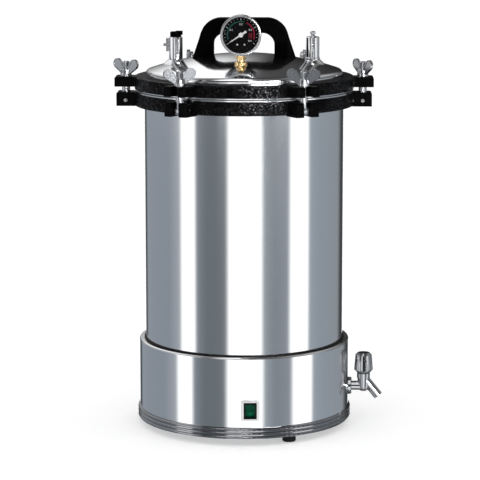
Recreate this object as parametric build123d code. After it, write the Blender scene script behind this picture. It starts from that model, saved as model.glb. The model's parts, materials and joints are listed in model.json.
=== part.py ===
from build123d import *
import math
import os

# Portable electric autoclave, 24 litre class. Millimetres, +Z up.
# The origin is on the vessel's axis, on the surface that the feet stand on.
# The gauge and the switch face -Y. Angles go from the front towards +X.

# Pot and its stainless lip
CHAMBER_DIA = 280.0
CHAMBER_DEPTH = 390.0
POT_WALL = 2.0
POT_FLOOR_Z = 91.0
POT_LIP_THICK = 1.5
POT_LIP_WIDTH = 13.0
POT_CORNER = 12.0

# Radii and heights of the pot that the sizes below are counted from
POT_R = CHAMBER_DIA / 2 + POT_WALL
POT_LIP_Z = POT_FLOOR_Z + CHAMBER_DEPTH
POT_BOTTOM_Z = POT_FLOOR_Z - POT_WALL
POT_LIP_TOP_Z = POT_LIP_Z + POT_LIP_THICK

# Feet, base ring and skirt
FOOT_DIA = 19.0
FOOT_HEIGHT = 10.0
FOOT_INSET = 13.0
FOOT_ANGLES = (28.5, 148.5, 268.5)
FOOT_SCREW_DIA = 4.0
BASE_RING_OUT = 3.0
BASE_RING_HEIGHT = 15.5
BASE_RING_WALL = 2.0
BASE_BEAD_R = 2.3
BASE_BEADS = 3
BASE_FLANGE_WIDTH = 26.0
BOTTOM_PLATE_THICK = 1.2
VENT_SLOTS = 12
VENT_SLOT_CIRCLE_R = 90.0
VENT_SLOT = (26.0, 5.0)
SKIRT_GAP = 9.0
SKIRT_WALL = 1.2
SKIRT_TOP_Z = 125.0
SEAL_WIDTH = 2.3
SKIRT_EDGE_R = 2.5
SEAL_HEIGHT = 3.4
POSTS = 4
POST_DIA = 14.0
POST_WALL = 2.0
POST_CIRCLE_R = 105.0
POST_FIRST_ANGLE = 45.0

# Cast flange rings and their six clevises
FLANGE_WIDTH = 14.0
BODY_FLANGE_HEIGHT = 19.5
LUGS = 6
LUG_FIRST_ANGLE = 30.0
LUG_WIDTH = 36.0
BODY_LUG_REACH = 13.0
BODY_LUG_BELOW_LIP = 20.5
BODY_LUG_TOP_GAP = 1.0
LID_LUG_REACH = 15.5
LID_LUG_RISE = 2.5
LID_LUG_HEIGHT = 14.0
LUG_EDGE_R = 3.0
SLOT_WIDTH = 12.4
BOLT_OUT = 12.5
PIN_BELOW_LIP = 12.5
PIN_DIA = 6.0
PIN_RECESS_DIA = 9.0
PIN_RECESS_DEPTH = 2.0
RUN_CLEAR = 0.08

# Swing bolts and wing nuts
EYE_DIA = 13.0
EYE_SIDE_GAP = 0.3
SHANK_DIA = 11.6
SHANK_ABOVE_PIN = 21.0
THREAD_DIA = 10.0
BOLT_ABOVE_PIN = 54.5
NUT_HUB_DIA = 16.0
NUT_HUB_TOP_DIA = 14.0
NUT_HUB_HEIGHT = 10.0
NUT_HUB_STEP = 4.0
WING_SPAN = 48.0
WING_LOBE_R = 7.2
WING_TOP = 24.0
WING_THICK = 4.2
WING_ROOT = (4.0, 7.0)
WING_RIM = 1.5
WING_RIM_DEPTH = 0.6
WING_TURNS = (40.0, -59.0, 25.0, -20.0, -42.0, -32.0)

# Lid dome, gasket and ring
DOME_RISE = 50.3
CROWN_R = 430.0
DOME_SHEET = 1.8
KNUCKLE_R = 6.0
BRIM_INSET = 3.0
BRIM_THICK = 1.5
GASKET_THICK = 1.5
GASKET_WIDTH = 12.0
GASKET_EDGE_GAP = 0.5
LID_RING_HEIGHT = 17.5
RING_CLEAR = 0.3

# Handle
HANDLE_TOP_RISE = 50.7
HANDLE_TOP_HALF = 36.7
HANDLE_SHOULDER = (45.7, 2.5)
HANDLE_ELBOW = (57.0, 13.6)
HANDLE_KNEE = (64.0, 29.4)
HANDLE_FOOT_HALF = 75.5
HANDLE_THICK = 24.0
HANDLE_GAP_HALF = 43.0
HANDLE_GRIP_THICK = 21.0
HANDLE_GAP_CORNER = 17.0
HANDLE_EDGE_R = 3.5
HANDLE_SCREW_X = 59.0
HANDLE_SCREW_DIA = 6.0
HANDLE_SCREW_DEPTH = 16.0

# Pressure gauge
GAUGE_X = -2.5
GAUGE_Y = -82.0
GAUGE_RISE = 32.7
GAUGE_DIA = 57.0
GAUGE_FRONT = 12.5
GAUGE_BACK = 13.5
GAUGE_WALL = 1.5
BEZEL_LIP = 3.4
LENS_THICK = 1.5
DIAL_THICK = 1.0
DIAL_DEPTH = 7.0
POINTER_LENGTH = 19.0
POINTER_TAIL = 9.0
POINTER_REST_ANGLE = 33.6
GAUGE_HEX = 12.0
GAUGE_NUT_DIA = 18.0
GAUGE_NUT_HEIGHT = 3.0
GAUGE_HEX_GAP = 3.5
GAUGE_THREAD_DIA = 10.0
GAUGE_NECK_DIA = 8.0
BOURDON_R = 16.0
BOURDON_TUBE_R = 2.6

# Valves on the lid
VALVE_X = 97.3
BOSS_TOP_DROP = 8.8
BOSS_TOP_DIA = 22.0
BOSS_BASE_DIA = 42.0
BOSS_HEIGHT = 9.5
VALVE_SHANK_DIA = 12.0
VALVE_SHANK_LENGTH = 13.5
SAFETY_DIA = 19.0
SAFETY_COLLAR_DIA = 21.0
SAFETY_COLLAR_HEIGHT = 3.5
SAFETY_HEIGHT = 32.7
SAFETY_BORE_DIA = 13.0
SAFETY_SEAT_HEIGHT = 5.5
SAFETY_COVER = 5.0
SAFETY_STEM_DIA = 4.0
SAFETY_KNOB_DIA = 8.0
SAFETY_KNOB_HEIGHT = 7.8
SAFETY_LIFT = 3.0
SAFETY_PORT_HEIGHTS = (17.4, 21.8)
VENT_DIA = 19.6
VENT_HEIGHT = 32.0
VENT_CAP_DIA = 16.0
VENT_CAP_HEIGHT = 8.5
VENT_BORE_DIA = 5.0
COCK_HEIGHT = 21.0
COCK_PLUG_DIA = 7.0
COCK_REACH = 17.5
COCK_BAR = (3.6, 4.6, 19.0)

# Exhaust tube, bucket, channel and bail
EXHAUST_DIA = 12.0
EXHAUST_BORE_DIA = 8.0
EXHAUST_ABOVE_SIEVE = 24.0
EXHAUST_BEND_R = 24.0
BUCKET_SIDE_GAP = 10.0
BUCKET_WALL = 1.2
BUCKET_BELOW_LIP = 24.0
BUCKET_RIM_R = 2.4
BUCKET_CORNER = 8.0
CHANNEL_DIA = 22.0
CHANNEL_WALL = 1.0
CHANNEL_END_GAP = 16.0
CHANNEL_BELOW_RIM = 10.0
STRAP_WIDTH = 30.0
STRAP_HEIGHT = 12.0
BAIL_WIRE_DIA = 6.0
BAIL_INSET = 14.0
BAIL_ABOVE_RIM = 7.0
EAR_WIDTH = 16.0
EAR_THICK = 2.0
EAR_DROP = 26.0

# Heater and sieve plate
HEATER_R = 92.0
HEATER_TUBE_DIA = 8.0
HEATER_ABOVE_FLOOR = 16.0
HEATER_GAP_ANGLE = 40.0
HEATER_LEG_BELOW = 22.0
HEATER_NUT_DIA = 16.0
HEATER_NUT_HEIGHT = 7.0
SIEVE_SIDE_GAP = 6.0
SIEVE_THICK = 2.0
SIEVE_ABOVE_FLOOR = 33.0
SIEVE_LEGS = 3
SIEVE_LEG_DIA = 8.0
SIEVE_LEG_CIRCLE_R = 120.0
SIEVE_HOLE_DIA = 8.0
SIEVE_PITCH = 22.0
SIEVE_RINGS = 4

# Drain tap
TAP_ANGLE = 88.0
DRAIN_Z = 52.7
DRAIN_INLET_R = 62.0
DRAIN_PIPE_DIA = 12.0
DRAIN_BORE_DIA = 8.0
DRAIN_BEND_R = 18.0
DRAIN_COLLAR_DIA = 24.0
DRAIN_COLLAR_HEIGHT = 4.0
TAP_NUT_DIA = 25.0
TAP_NUT_THICK = 5.0
TAP_STUB_DIA = 13.7
TAP_REACH = 17.0
TAP_BARREL_DIA = 17.0
TAP_BONNET_DIA = 19.0
TAP_BONNET_Z = 65.0
TAP_BONNET_TOP_Z = 72.3
SPOUT_DIA = 13.4
SPOUT_BORE_DIA = 9.0
SPOUT_START_Z = 65.0
SPOUT_DROP_ANGLE = 51.0
SPOUT_LENGTH = 34.0
KNOB_BOTTOM_Z = 72.6
KNOB_TOP_Z = 101.8
KNOB_DIA = 27.7
KNOB_TOP_DIA = 23.6
KNOB_FLUTES = 8
KNOB_FLUTE_R = 2.6
TAP_STEM_DIA = 8.0

# Mains switch and cord gland
SWITCH_ANGLE = 4.5
SWITCH_Z = 50.2
SWITCH_BEZEL = (26.0, 28.7)
SWITCH_BODY = (18.3, 23.3)
SWITCH_ROCKER = (13.2, 18.4)
SWITCH_BEZEL_THICK = 2.6
SWITCH_DEPTH = 24.0
ROCKER_PIVOT_DEPTH = 5.0
ROCKER_TILT = 8.0
ROCKER_GAP = 0.3
TRUNNION_DIA = 3.0
GLAND_ANGLE = 180.0
GLAND_Z = 50.0
GLAND_HEX = 22.0
GLAND_BORE_DIA = 9.0
GLAND_BODY_DIA = 16.0
GLAND_OUT = 16.0
GLAND_IN = 14.0

# Heights and radii that follow from the sizes above
FLANGE_R = POT_R + FLANGE_WIDTH
FLANGE_BOTTOM_Z = POT_LIP_Z - BODY_FLANGE_HEIGHT
BOLT_CIRCLE_R = FLANGE_R + BOLT_OUT
BODY_LUG_REACH_R = BOLT_CIRCLE_R + BODY_LUG_REACH
LID_LUG_REACH_R = BOLT_CIRCLE_R + LID_LUG_REACH
BODY_LUG_BOTTOM_Z = POT_LIP_Z - BODY_LUG_BELOW_LIP
BODY_LUG_TOP_Z = POT_LIP_Z - BODY_LUG_TOP_GAP
PIN_Z = POT_LIP_Z - PIN_BELOW_LIP
SHANK_TOP_Z = PIN_Z + SHANK_ABOVE_PIN
BOLT_TOP_Z = PIN_Z + BOLT_ABOVE_PIN
BRIM_Z = POT_LIP_TOP_Z + GASKET_THICK
BRIM_R = FLANGE_R - BRIM_INSET
LID_RING_BOTTOM_Z = BRIM_Z + BRIM_THICK
LID_RING_TOP_Z = LID_RING_BOTTOM_Z + LID_RING_HEIGHT
LID_LUG_BOTTOM_Z = LID_RING_BOTTOM_Z + LID_LUG_RISE
LID_LUG_TOP_Z = LID_LUG_BOTTOM_Z + LID_LUG_HEIGHT
DOME_TOP_Z = BRIM_Z + DOME_RISE
DOME_WALL_R = CHAMBER_DIA / 2
HANDLE_TOP_Z = DOME_TOP_Z + HANDLE_TOP_RISE
HANDLE_GAP_TOP_Z = HANDLE_TOP_Z - HANDLE_GRIP_THICK
GAUGE_Z = DOME_TOP_Z + GAUGE_RISE
BOSS_TOP_Z = DOME_TOP_Z - BOSS_TOP_DROP
VALVE_SHANK_BOTTOM_Z = BOSS_TOP_Z - VALVE_SHANK_LENGTH
SAFETY_TOP_Z = BOSS_TOP_Z + SAFETY_HEIGHT
SAFETY_SEAT_Z = BOSS_TOP_Z + SAFETY_SEAT_HEIGHT
SAFETY_KNOB_TOP_Z = SAFETY_TOP_Z + SAFETY_KNOB_HEIGHT
VENT_TOP_Z = BOSS_TOP_Z + VENT_HEIGHT
VENT_CAP_TOP_Z = VENT_TOP_Z + VENT_CAP_HEIGHT
COCK_Z = BOSS_TOP_Z + COCK_HEIGHT
SKIRT_R = POT_R + SKIRT_GAP
FOOT_CIRCLE_R = SKIRT_R - FOOT_INSET
BASE_FLANGE_TOP_Z = FOOT_HEIGHT + BASE_RING_WALL
PLATE_TOP_Z = BASE_FLANGE_TOP_Z + BOTTOM_PLATE_THICK
SIEVE_TOP_Z = POT_FLOOR_Z + SIEVE_ABOVE_FLOOR + SIEVE_THICK
EXHAUST_BOTTOM_Z = SIEVE_TOP_Z + EXHAUST_ABOVE_SIEVE
BUCKET_R = CHAMBER_DIA / 2 - BUCKET_SIDE_GAP
BAIL_R = BUCKET_R - BAIL_INSET
BUCKET_TOP_Z = POT_LIP_Z - BUCKET_BELOW_LIP
BUCKET_HEIGHT = BUCKET_TOP_Z - SIEVE_TOP_Z
BAIL_Z = BUCKET_TOP_Z + BAIL_ABOVE_RIM
CHANNEL_X = BUCKET_R - BUCKET_WALL - CHANNEL_DIA / 2
NUT_SEAT_Z = LID_LUG_TOP_Z
LUG_ANGLES = [LUG_FIRST_ANGLE + 360.0 / LUGS * k for k in range(LUGS)]
GAUGE_FACE_Y = GAUGE_Y - GAUGE_FRONT
GAUGE_BACK_Y = GAUGE_Y + GAUGE_BACK
TAP_NUT_FACE_R = SKIRT_R + TAP_NUT_THICK
TAP_AXIS_R = TAP_NUT_FACE_R + TAP_REACH
SWITCH_FACE_R = SKIRT_R + SWITCH_BEZEL_THICK
ROCKER_PIVOT_R = SWITCH_FACE_R - ROCKER_PIVOT_DEPTH


def rod(radius, low, high, x=0.0, y=0.0):
    """A round bar that stands on z = low and ends at z = high."""
    bar = Cylinder(radius, high - low, align=(Align.CENTER, Align.CENTER, Align.MIN))
    return Pos(x, y, low) * bar


def tube(inner, outer, low, high, x=0.0, y=0.0):
    """A round bar with a round hole right through it."""
    return rod(outer, low, high, x, y) - rod(inner, low - 1.0, high + 1.0, x, y)


def bar_along_x(radius, low, high, y=0.0, z=0.0):
    """A round bar along X between two distances from the axis."""
    return Pos(0, y, z) * Rot(Y=90) * rod(radius, low, high)


def bar_along_y(radius, low, high, x=0.0, z=0.0):
    """A round bar along Y between two y values."""
    return Pos(x, 0, z) * Rot(X=-90) * rod(radius, low, high)


def block(x, y, z):
    """A box from three (low, high) pairs."""
    size = Box(x[1] - x[0], y[1] - y[0], z[1] - z[0], align=(Align.MIN,) * 3)
    return Pos(x[0], y[0], z[0]) * size


def hexagon(across_flats, low, high, x=0.0, y=0.0):
    """A hexagonal bar that stands on z = low."""
    outline = RegularPolygon(across_flats / 2, 6, major_radius=False)
    return Pos(x, y, low) * extrude(outline, high - low)


def turned(points):
    """A solid of revolution about Z from (radius, height) points."""
    return revolve(make_face(Plane.XZ * Polyline(*points, close=True)), Axis.Z)


def to_angle(shape, angle):
    """Turns what was modelled along +X to an angle from the front."""
    return Rot(Z=angle - 90.0) * shape


def outward(angle, reach):
    """The x and y of a point at an angle from the front."""
    turn = math.radians(angle)
    return reach * math.sin(turn), -reach * math.cos(turn)


def crown_height(r, sheet=0.0):
    """The dome's height at a radius, on its outer face or a sheet under it."""
    drop = CROWN_R - math.sqrt((CROWN_R - sheet) ** 2 - r**2)
    return DOME_TOP_Z - drop


# Vessel


def pot():
    wall = rod(POT_R, POT_BOTTOM_Z, POT_LIP_TOP_Z)
    wall = fillet(wall.edges().sort_by(Axis.Z)[0], POT_CORNER)
    inside = rod(POT_R - POT_WALL, POT_FLOOR_Z, POT_LIP_TOP_Z + 1.0)
    inside = fillet(inside.edges().sort_by(Axis.Z)[0], POT_CORNER - POT_WALL)
    shell = wall - inside
    for x, y in heater_leg_places():
        shell -= rod(HEATER_TUBE_DIA / 2 + RUN_CLEAR, POT_BOTTOM_Z - 1, POT_FLOOR_Z + 1, x, y)
    x, y = outward(TAP_ANGLE, DRAIN_INLET_R)
    return shell - rod(DRAIN_BORE_DIA / 2, POT_BOTTOM_Z - 1, POT_FLOOR_Z + 1, x, y)


def pot_lip():
    """The flat lip welded round the pot's mouth, which the gasket seals on."""
    return tube(POT_R, POT_R + POT_LIP_WIDTH, POT_LIP_Z, POT_LIP_TOP_Z)


def body_flange():
    edge = tube(POT_R + RING_CLEAR / 2, FLANGE_R, FLANGE_BOTTOM_Z, POT_LIP_Z)
    edge = fillet(edge.edges().group_by(Axis.Z)[0].sort_by(SortBy.RADIUS)[-1], 2.0)
    return edge + [to_angle(body_lug(), angle) for angle in LUG_ANGLES]


def lug_block(inner, reach, low, high, edge_r):
    """A cheek block with its outer corners rounded."""
    half = LUG_WIDTH / 2
    cheek = block((inner, reach), (-half, half), (low, high))
    corners = cheek.edges().filter_by(Axis.Z).group_by(Axis.X)[-1]
    cheek = fillet(corners, edge_r)
    return fillet(cheek.edges().group_by(Axis.Z)[-1].filter_by(Axis.Y).sort_by(Axis.X)[-1], edge_r)


def body_lug():
    """One clevis of the lower ring, with the pin holes and their recesses."""
    half = LUG_WIDTH / 2
    cheek = lug_block(FLANGE_R - 8.0, BODY_LUG_REACH_R, BODY_LUG_BOTTOM_Z, BODY_LUG_TOP_Z, LUG_EDGE_R)
    cheek -= rod(FLANGE_R - 2.0, BODY_LUG_BOTTOM_Z - 1, FLANGE_BOTTOM_Z)
    slot_inner = BOLT_CIRCLE_R - EYE_DIA / 2 - 1.0
    slot = block(
        (slot_inner, BODY_LUG_REACH_R + 5),
        (-SLOT_WIDTH / 2, SLOT_WIDTH / 2),
        (BODY_LUG_BOTTOM_Z - 1, BODY_LUG_TOP_Z + 1),
    )
    hole = bar_along_y(PIN_DIA / 2 + RUN_CLEAR, -half - 1, half + 1, BOLT_CIRCLE_R, PIN_Z)
    recess = bar_along_y(PIN_RECESS_DIA / 2, half - PIN_RECESS_DEPTH, half + 1, BOLT_CIRCLE_R, PIN_Z)
    return cheek - slot - hole - recess - mirror(recess, Plane.XZ)


def hinge_pins():
    half = LUG_WIDTH / 2 - PIN_RECESS_DEPTH
    pin = chamfer(bar_along_y(PIN_DIA / 2, -half, half, BOLT_CIRCLE_R, PIN_Z).edges(), 0.4)
    return [to_angle(pin, angle) for angle in LUG_ANGLES]


def base_skirt():
    shell = rod(SKIRT_R, PLATE_TOP_Z, SKIRT_TOP_Z)
    shell = fillet(shell.edges().sort_by(Axis.Z)[-1], SKIRT_EDGE_R)
    inside = rod(SKIRT_R - SKIRT_WALL, PLATE_TOP_Z - 1, SKIRT_TOP_Z - SKIRT_WALL)
    inside = fillet(inside.edges().sort_by(Axis.Z)[-1], SKIRT_EDGE_R - SKIRT_WALL)
    shell = shell - inside - rod(POT_R + SEAL_WIDTH, SKIRT_TOP_Z - SKIRT_WALL - 1, SKIRT_TOP_Z + 1)
    width, height = SWITCH_BODY
    window = block(
        (SKIRT_R - 10, SKIRT_R + 10),
        (-width / 2 - 0.1, width / 2 + 0.1),
        (SWITCH_Z - height / 2 - 0.1, SWITCH_Z + height / 2 + 0.1),
    )
    shell -= to_angle(window, SWITCH_ANGLE)
    drain = bar_along_x(DRAIN_PIPE_DIA / 2 + 0.2, SKIRT_R - 20, SKIRT_R + 20, z=DRAIN_Z)
    gland = bar_along_x(GLAND_BODY_DIA / 2 + 0.1, SKIRT_R - 20, SKIRT_R + 20, z=GLAND_Z)
    return shell - to_angle(drain, TAP_ANGLE) - to_angle(gland, GLAND_ANGLE)


def skirt_seal():
    """The black rubber bead between the skirt's shelf and the pot."""
    low = SKIRT_TOP_Z - SKIRT_WALL - 0.6
    return tube(POT_R + 0.1, POT_R + SEAL_WIDTH - 0.1, low, low + SEAL_HEIGHT)


def base_ring():
    """The chromed ring under the skirt, with raised beads round it."""
    outer = SKIRT_R + BASE_RING_OUT
    body_r = outer - BASE_BEAD_R * 0.45
    low, high = FOOT_HEIGHT, FOOT_HEIGHT + BASE_RING_HEIGHT
    profile = [
        (SKIRT_R - BASE_FLANGE_WIDTH, low),
        (body_r, low),
        (body_r, high),
        (SKIRT_R + 0.1, high),
        (SKIRT_R + 0.1, BASE_FLANGE_TOP_Z),
        (SKIRT_R - BASE_FLANGE_WIDTH, BASE_FLANGE_TOP_Z),
    ]
    ring = turned(profile)
    pitch = (BASE_RING_HEIGHT - 2 * BASE_BEAD_R) / (BASE_BEADS - 1)
    for k in range(BASE_BEADS):
        bead = Pos(0, 0, low + BASE_BEAD_R + k * pitch) * Torus(outer - BASE_BEAD_R, BASE_BEAD_R)
        ring += bead - rod(SKIRT_R + 0.1, low, high + 1)
    for angle in FOOT_ANGLES:
        x, y = outward(angle, FOOT_CIRCLE_R)
        ring -= rod(FOOT_SCREW_DIA / 2 + 0.1, low - 1, BASE_FLANGE_TOP_Z + 1, x, y)
    return ring


def bottom_plate():
    plate = rod(SKIRT_R - 0.1, BASE_FLANGE_TOP_Z, PLATE_TOP_Z)
    for angle in FOOT_ANGLES:
        x, y = outward(angle, FOOT_CIRCLE_R)
        plate -= rod(FOOT_SCREW_DIA / 2 + 0.1, BASE_FLANGE_TOP_Z - 1, PLATE_TOP_Z + 1, x, y)
    slot = extrude(SlotOverall(*VENT_SLOT), 10.0)
    for k in range(VENT_SLOTS):
        place = Pos(VENT_SLOT_CIRCLE_R, 0, BASE_FLANGE_TOP_Z - 5)
        plate -= Rot(Z=360.0 / VENT_SLOTS * k) * place * slot
    return plate


def support_posts():
    """Tubes that carry the pot on the bottom plate, each with a welded foot."""
    posts = []
    for k in range(POSTS):
        x, y = outward(POST_FIRST_ANGLE + 360.0 / POSTS * k, POST_CIRCLE_R)
        post = tube(POST_DIA / 2 - POST_WALL, POST_DIA / 2, PLATE_TOP_Z, POT_BOTTOM_Z, x, y)
        foot = tube(POST_DIA / 2 - POST_WALL, POST_DIA * 0.9, PLATE_TOP_Z, PLATE_TOP_Z + 2, x, y)
        posts.append(post + foot)
    return posts


def feet():
    """Rubber feet with a recess below for the screw head."""
    made = []
    for angle in FOOT_ANGLES:
        x, y = outward(angle, FOOT_CIRCLE_R)
        foot = rod(FOOT_DIA / 2, 0, FOOT_HEIGHT, x, y)
        foot = chamfer(foot.edges().sort_by(Axis.Z)[0], 1.2)
        foot -= rod(FOOT_SCREW_DIA / 2 + 0.1, -1, FOOT_HEIGHT + 1, x, y)
        made.append(foot - rod(FOOT_SCREW_DIA + 0.6, -1, FOOT_HEIGHT * 0.6, x, y))
    return made


def foot_screws():
    """Each foot's screw, with its nut above the bottom plate."""
    made = []
    seat = FOOT_HEIGHT * 0.6
    for angle in FOOT_ANGLES:
        x, y = outward(angle, FOOT_CIRCLE_R)
        top = PLATE_TOP_Z + FOOT_SCREW_DIA * 1.6
        screw = rod(FOOT_SCREW_DIA / 2, seat, top, x, y)
        head = rod(FOOT_SCREW_DIA, seat - FOOT_SCREW_DIA * 0.6, seat, x, y)
        made.append(screw + head)
        nut = hexagon(FOOT_SCREW_DIA * 1.75, PLATE_TOP_Z, PLATE_TOP_Z + FOOT_SCREW_DIA * 0.8, x, y)
        made.append(nut - rod(FOOT_SCREW_DIA / 2 + 0.05, 0, top, x, y))
    return made


def heater_leg_places():
    """Where the heater's two ends go down through the pot's floor."""
    return [outward(180.0 + side * HEATER_GAP_ANGLE / 2, HEATER_R) for side in (-1, 1)]


def heater_element():
    """A sheathed tube bent round in a ring, with both ends turned down."""
    ring_z = POT_FLOOR_Z + HEATER_ABOVE_FLOOR
    tube_r = HEATER_TUBE_DIA / 2
    circle = Plane.XZ * (Pos(HEATER_R, ring_z) * Circle(tube_r))
    ring = Rot(Z=90 + HEATER_GAP_ANGLE / 2) * revolve(circle, Axis.Z, 360 - HEATER_GAP_ANGLE)
    for x, y in heater_leg_places():
        ring += Pos(x, y, ring_z) * Sphere(tube_r)
        ring += rod(tube_r, POT_BOTTOM_Z - HEATER_LEG_BELOW, ring_z, x, y)
    return ring


def heater_nuts():
    """A gland nut under the floor and a sealing collar above it on each end."""
    made = []
    bore = HEATER_TUBE_DIA / 2 + 0.05
    for x, y in heater_leg_places():
        nut = hexagon(HEATER_NUT_DIA, POT_BOTTOM_Z - HEATER_NUT_HEIGHT, POT_BOTTOM_Z, x, y)
        made.append(nut - rod(bore, 0, POT_LIP_Z, x, y))
        made.append(tube(bore, HEATER_NUT_DIA / 2, POT_FLOOR_Z, POT_FLOOR_Z + 4, x, y))
    return made


def sieve_plate():
    low = POT_FLOOR_Z + SIEVE_ABOVE_FLOOR
    plate = rod(CHAMBER_DIA / 2 - SIEVE_SIDE_GAP, low, low + SIEVE_THICK)
    holes = [rod(SIEVE_HOLE_DIA / 2, low - 1, SIEVE_TOP_Z + 1)]
    for ring in range(1, SIEVE_RINGS + 1):
        reach = ring * SIEVE_PITCH
        for k in range(6 * ring):
            x, y = outward(60.0 / ring * k, reach)
            holes.append(rod(SIEVE_HOLE_DIA / 2, low - 1, SIEVE_TOP_Z + 1, x, y))
    plate -= holes
    for k in range(SIEVE_LEGS):
        x, y = outward(360.0 / SIEVE_LEGS * k, SIEVE_LEG_CIRCLE_R)
        plate += rod(SIEVE_LEG_DIA / 2, POT_FLOOR_Z, low + 0.5, x, y)
    return plate


# Drain tap


def drain_pipe():
    """From the pot's floor, down, round a bend and out through the skirt."""
    route = FilletPolyline(
        (DRAIN_INLET_R, 0, POT_BOTTOM_Z),
        (DRAIN_INLET_R, 0, DRAIN_Z),
        (TAP_NUT_FACE_R, 0, DRAIN_Z),
        radius=DRAIN_BEND_R,
    )
    start = Plane(origin=(DRAIN_INLET_R, 0, POT_BOTTOM_Z), z_dir=(0, 0, -1))
    outer = sweep(start * Circle(DRAIN_PIPE_DIA / 2), path=route)
    collar = rod(DRAIN_COLLAR_DIA / 2, POT_BOTTOM_Z - DRAIN_COLLAR_HEIGHT, POT_BOTTOM_Z, DRAIN_INLET_R)
    bore = sweep(start * Circle(DRAIN_BORE_DIA / 2), path=route)
    return to_angle(outer + collar - bore, TAP_ANGLE)


def tap_nut():
    """The round nut that clamps the tap to the skirt."""
    nut = bar_along_x(TAP_NUT_DIA / 2, SKIRT_R, TAP_NUT_FACE_R, z=DRAIN_Z)
    nut = chamfer(nut.edges().sort_by(Axis.X)[-1], 1.2)
    bore = bar_along_x(DRAIN_PIPE_DIA / 2 + 0.05, 0, TAP_NUT_FACE_R + 1, z=DRAIN_Z)
    return to_angle(nut - bore, TAP_ANGLE)


def spout_plane():
    """The spout's start, with its local Z along the spout."""
    turn = math.radians(SPOUT_DROP_ANGLE)
    along = (math.cos(turn), 0, -math.sin(turn))
    return Plane(origin=(TAP_AXIS_R, 0, SPOUT_START_Z), z_dir=along)


def tap_body():
    """The casting: inlet stub, barrel, rounded bottom and slanted spout."""
    barrel_r = TAP_BARREL_DIA / 2
    stub = bar_along_x(TAP_STUB_DIA / 2, TAP_NUT_FACE_R, TAP_AXIS_R, z=DRAIN_Z)
    barrel = rod(barrel_r, DRAIN_Z, TAP_BONNET_Z, TAP_AXIS_R)
    bottom = Pos(TAP_AXIS_R, 0, DRAIN_Z) * Sphere(barrel_r)
    start = spout_plane()
    spout = extrude(start * Circle(SPOUT_DIA / 2), SPOUT_LENGTH)
    above = rod(TAP_BONNET_DIA, TAP_BONNET_Z, TAP_BONNET_Z + 20, TAP_AXIS_R)
    body = stub + barrel + bottom + (spout - above)
    inlet = bar_along_x(DRAIN_BORE_DIA / 2, TAP_NUT_FACE_R - 1, TAP_AXIS_R, z=DRAIN_Z)
    well = rod(TAP_STEM_DIA / 2 + 0.6, DRAIN_Z, TAP_BONNET_Z + 1, TAP_AXIS_R)
    way = extrude(start.offset(SPOUT_LENGTH * 0.35) * Circle(SPOUT_BORE_DIA / 2), SPOUT_LENGTH)
    port = extrude(start * Circle(SPOUT_BORE_DIA / 3), SPOUT_LENGTH * 0.4)
    return to_angle(body - inlet - well - way - port, TAP_ANGLE)


def tap_bonnet():
    """The collar over the barrel that the stem turns in."""
    collar = rod(TAP_BONNET_DIA / 2, TAP_BONNET_Z, TAP_BONNET_TOP_Z, TAP_AXIS_R)
    collar = chamfer(collar.edges().sort_by(Axis.Z)[-1], 0.8)
    bore = rod(TAP_STEM_DIA / 2 + RUN_CLEAR, TAP_BONNET_Z - 1, TAP_BONNET_TOP_Z + 1, TAP_AXIS_R)
    return to_angle(collar - bore, TAP_ANGLE)


def tap_stem():
    """The spindle, with its plug down in the barrel."""
    stem = rod(TAP_STEM_DIA / 2, DRAIN_Z + TAP_STEM_DIA, KNOB_TOP_Z - 6.0, TAP_AXIS_R)
    return to_angle(stem, TAP_ANGLE)


def tap_knob():
    """A fluted knob, wider low down, with a flat rounded top."""
    foot, rim, top = KNOB_BOTTOM_Z, KNOB_BOTTOM_Z + 4.5, KNOB_TOP_Z
    wide, narrow = KNOB_DIA / 2, KNOB_TOP_DIA / 2
    profile = [
        (0, foot),
        (wide - 4.0, foot),
        (wide, rim),
        (narrow, top - 3.0),
        (narrow - 3.0, top),
        (0, top),
    ]
    knob = turned(profile)
    for k in range(KNOB_FLUTES):
        x, y = outward(360.0 / KNOB_FLUTES * (k + 0.5), wide + KNOB_FLUTE_R * 0.45)
        knob -= rod(KNOB_FLUTE_R, foot - 1, top - 4.5, x, y)
    bore = rod(TAP_STEM_DIA / 2 + 0.05, foot - 1, top - 6.0)
    return to_angle(Pos(TAP_AXIS_R, 0, 0) * (knob - bore), TAP_ANGLE)


# Mains switch and gland


def switch_bezel():
    """A clear frame round the switch, flat on the skirt."""
    wide, tall = SWITCH_BEZEL
    inner_wide, inner_tall = SWITCH_BODY
    frame = block(
        (SKIRT_R, SWITCH_FACE_R),
        (-wide / 2, wide / 2),
        (SWITCH_Z - tall / 2, SWITCH_Z + tall / 2),
    )
    frame = fillet(frame.edges().filter_by(Axis.X), 3.0)
    frame = chamfer(frame.faces().sort_by(Axis.X)[-1].edges(), 1.0)
    window = block(
        (SKIRT_R - 1, SWITCH_FACE_R + 1),
        (-inner_wide / 2, inner_wide / 2),
        (SWITCH_Z - inner_tall / 2, SWITCH_Z + inner_tall / 2),
    )
    return to_angle(frame - window, SWITCH_ANGLE)


def rocker_pocket(depth):
    """The well in the switch that the rocker turns in."""
    wide, tall = SWITCH_ROCKER
    return block(
        (SWITCH_FACE_R - depth, SWITCH_FACE_R + 5),
        (-wide / 2 - ROCKER_GAP, wide / 2 + ROCKER_GAP),
        (SWITCH_Z - tall / 2 - ROCKER_GAP, SWITCH_Z + tall / 2 + ROCKER_GAP),
    )


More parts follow.
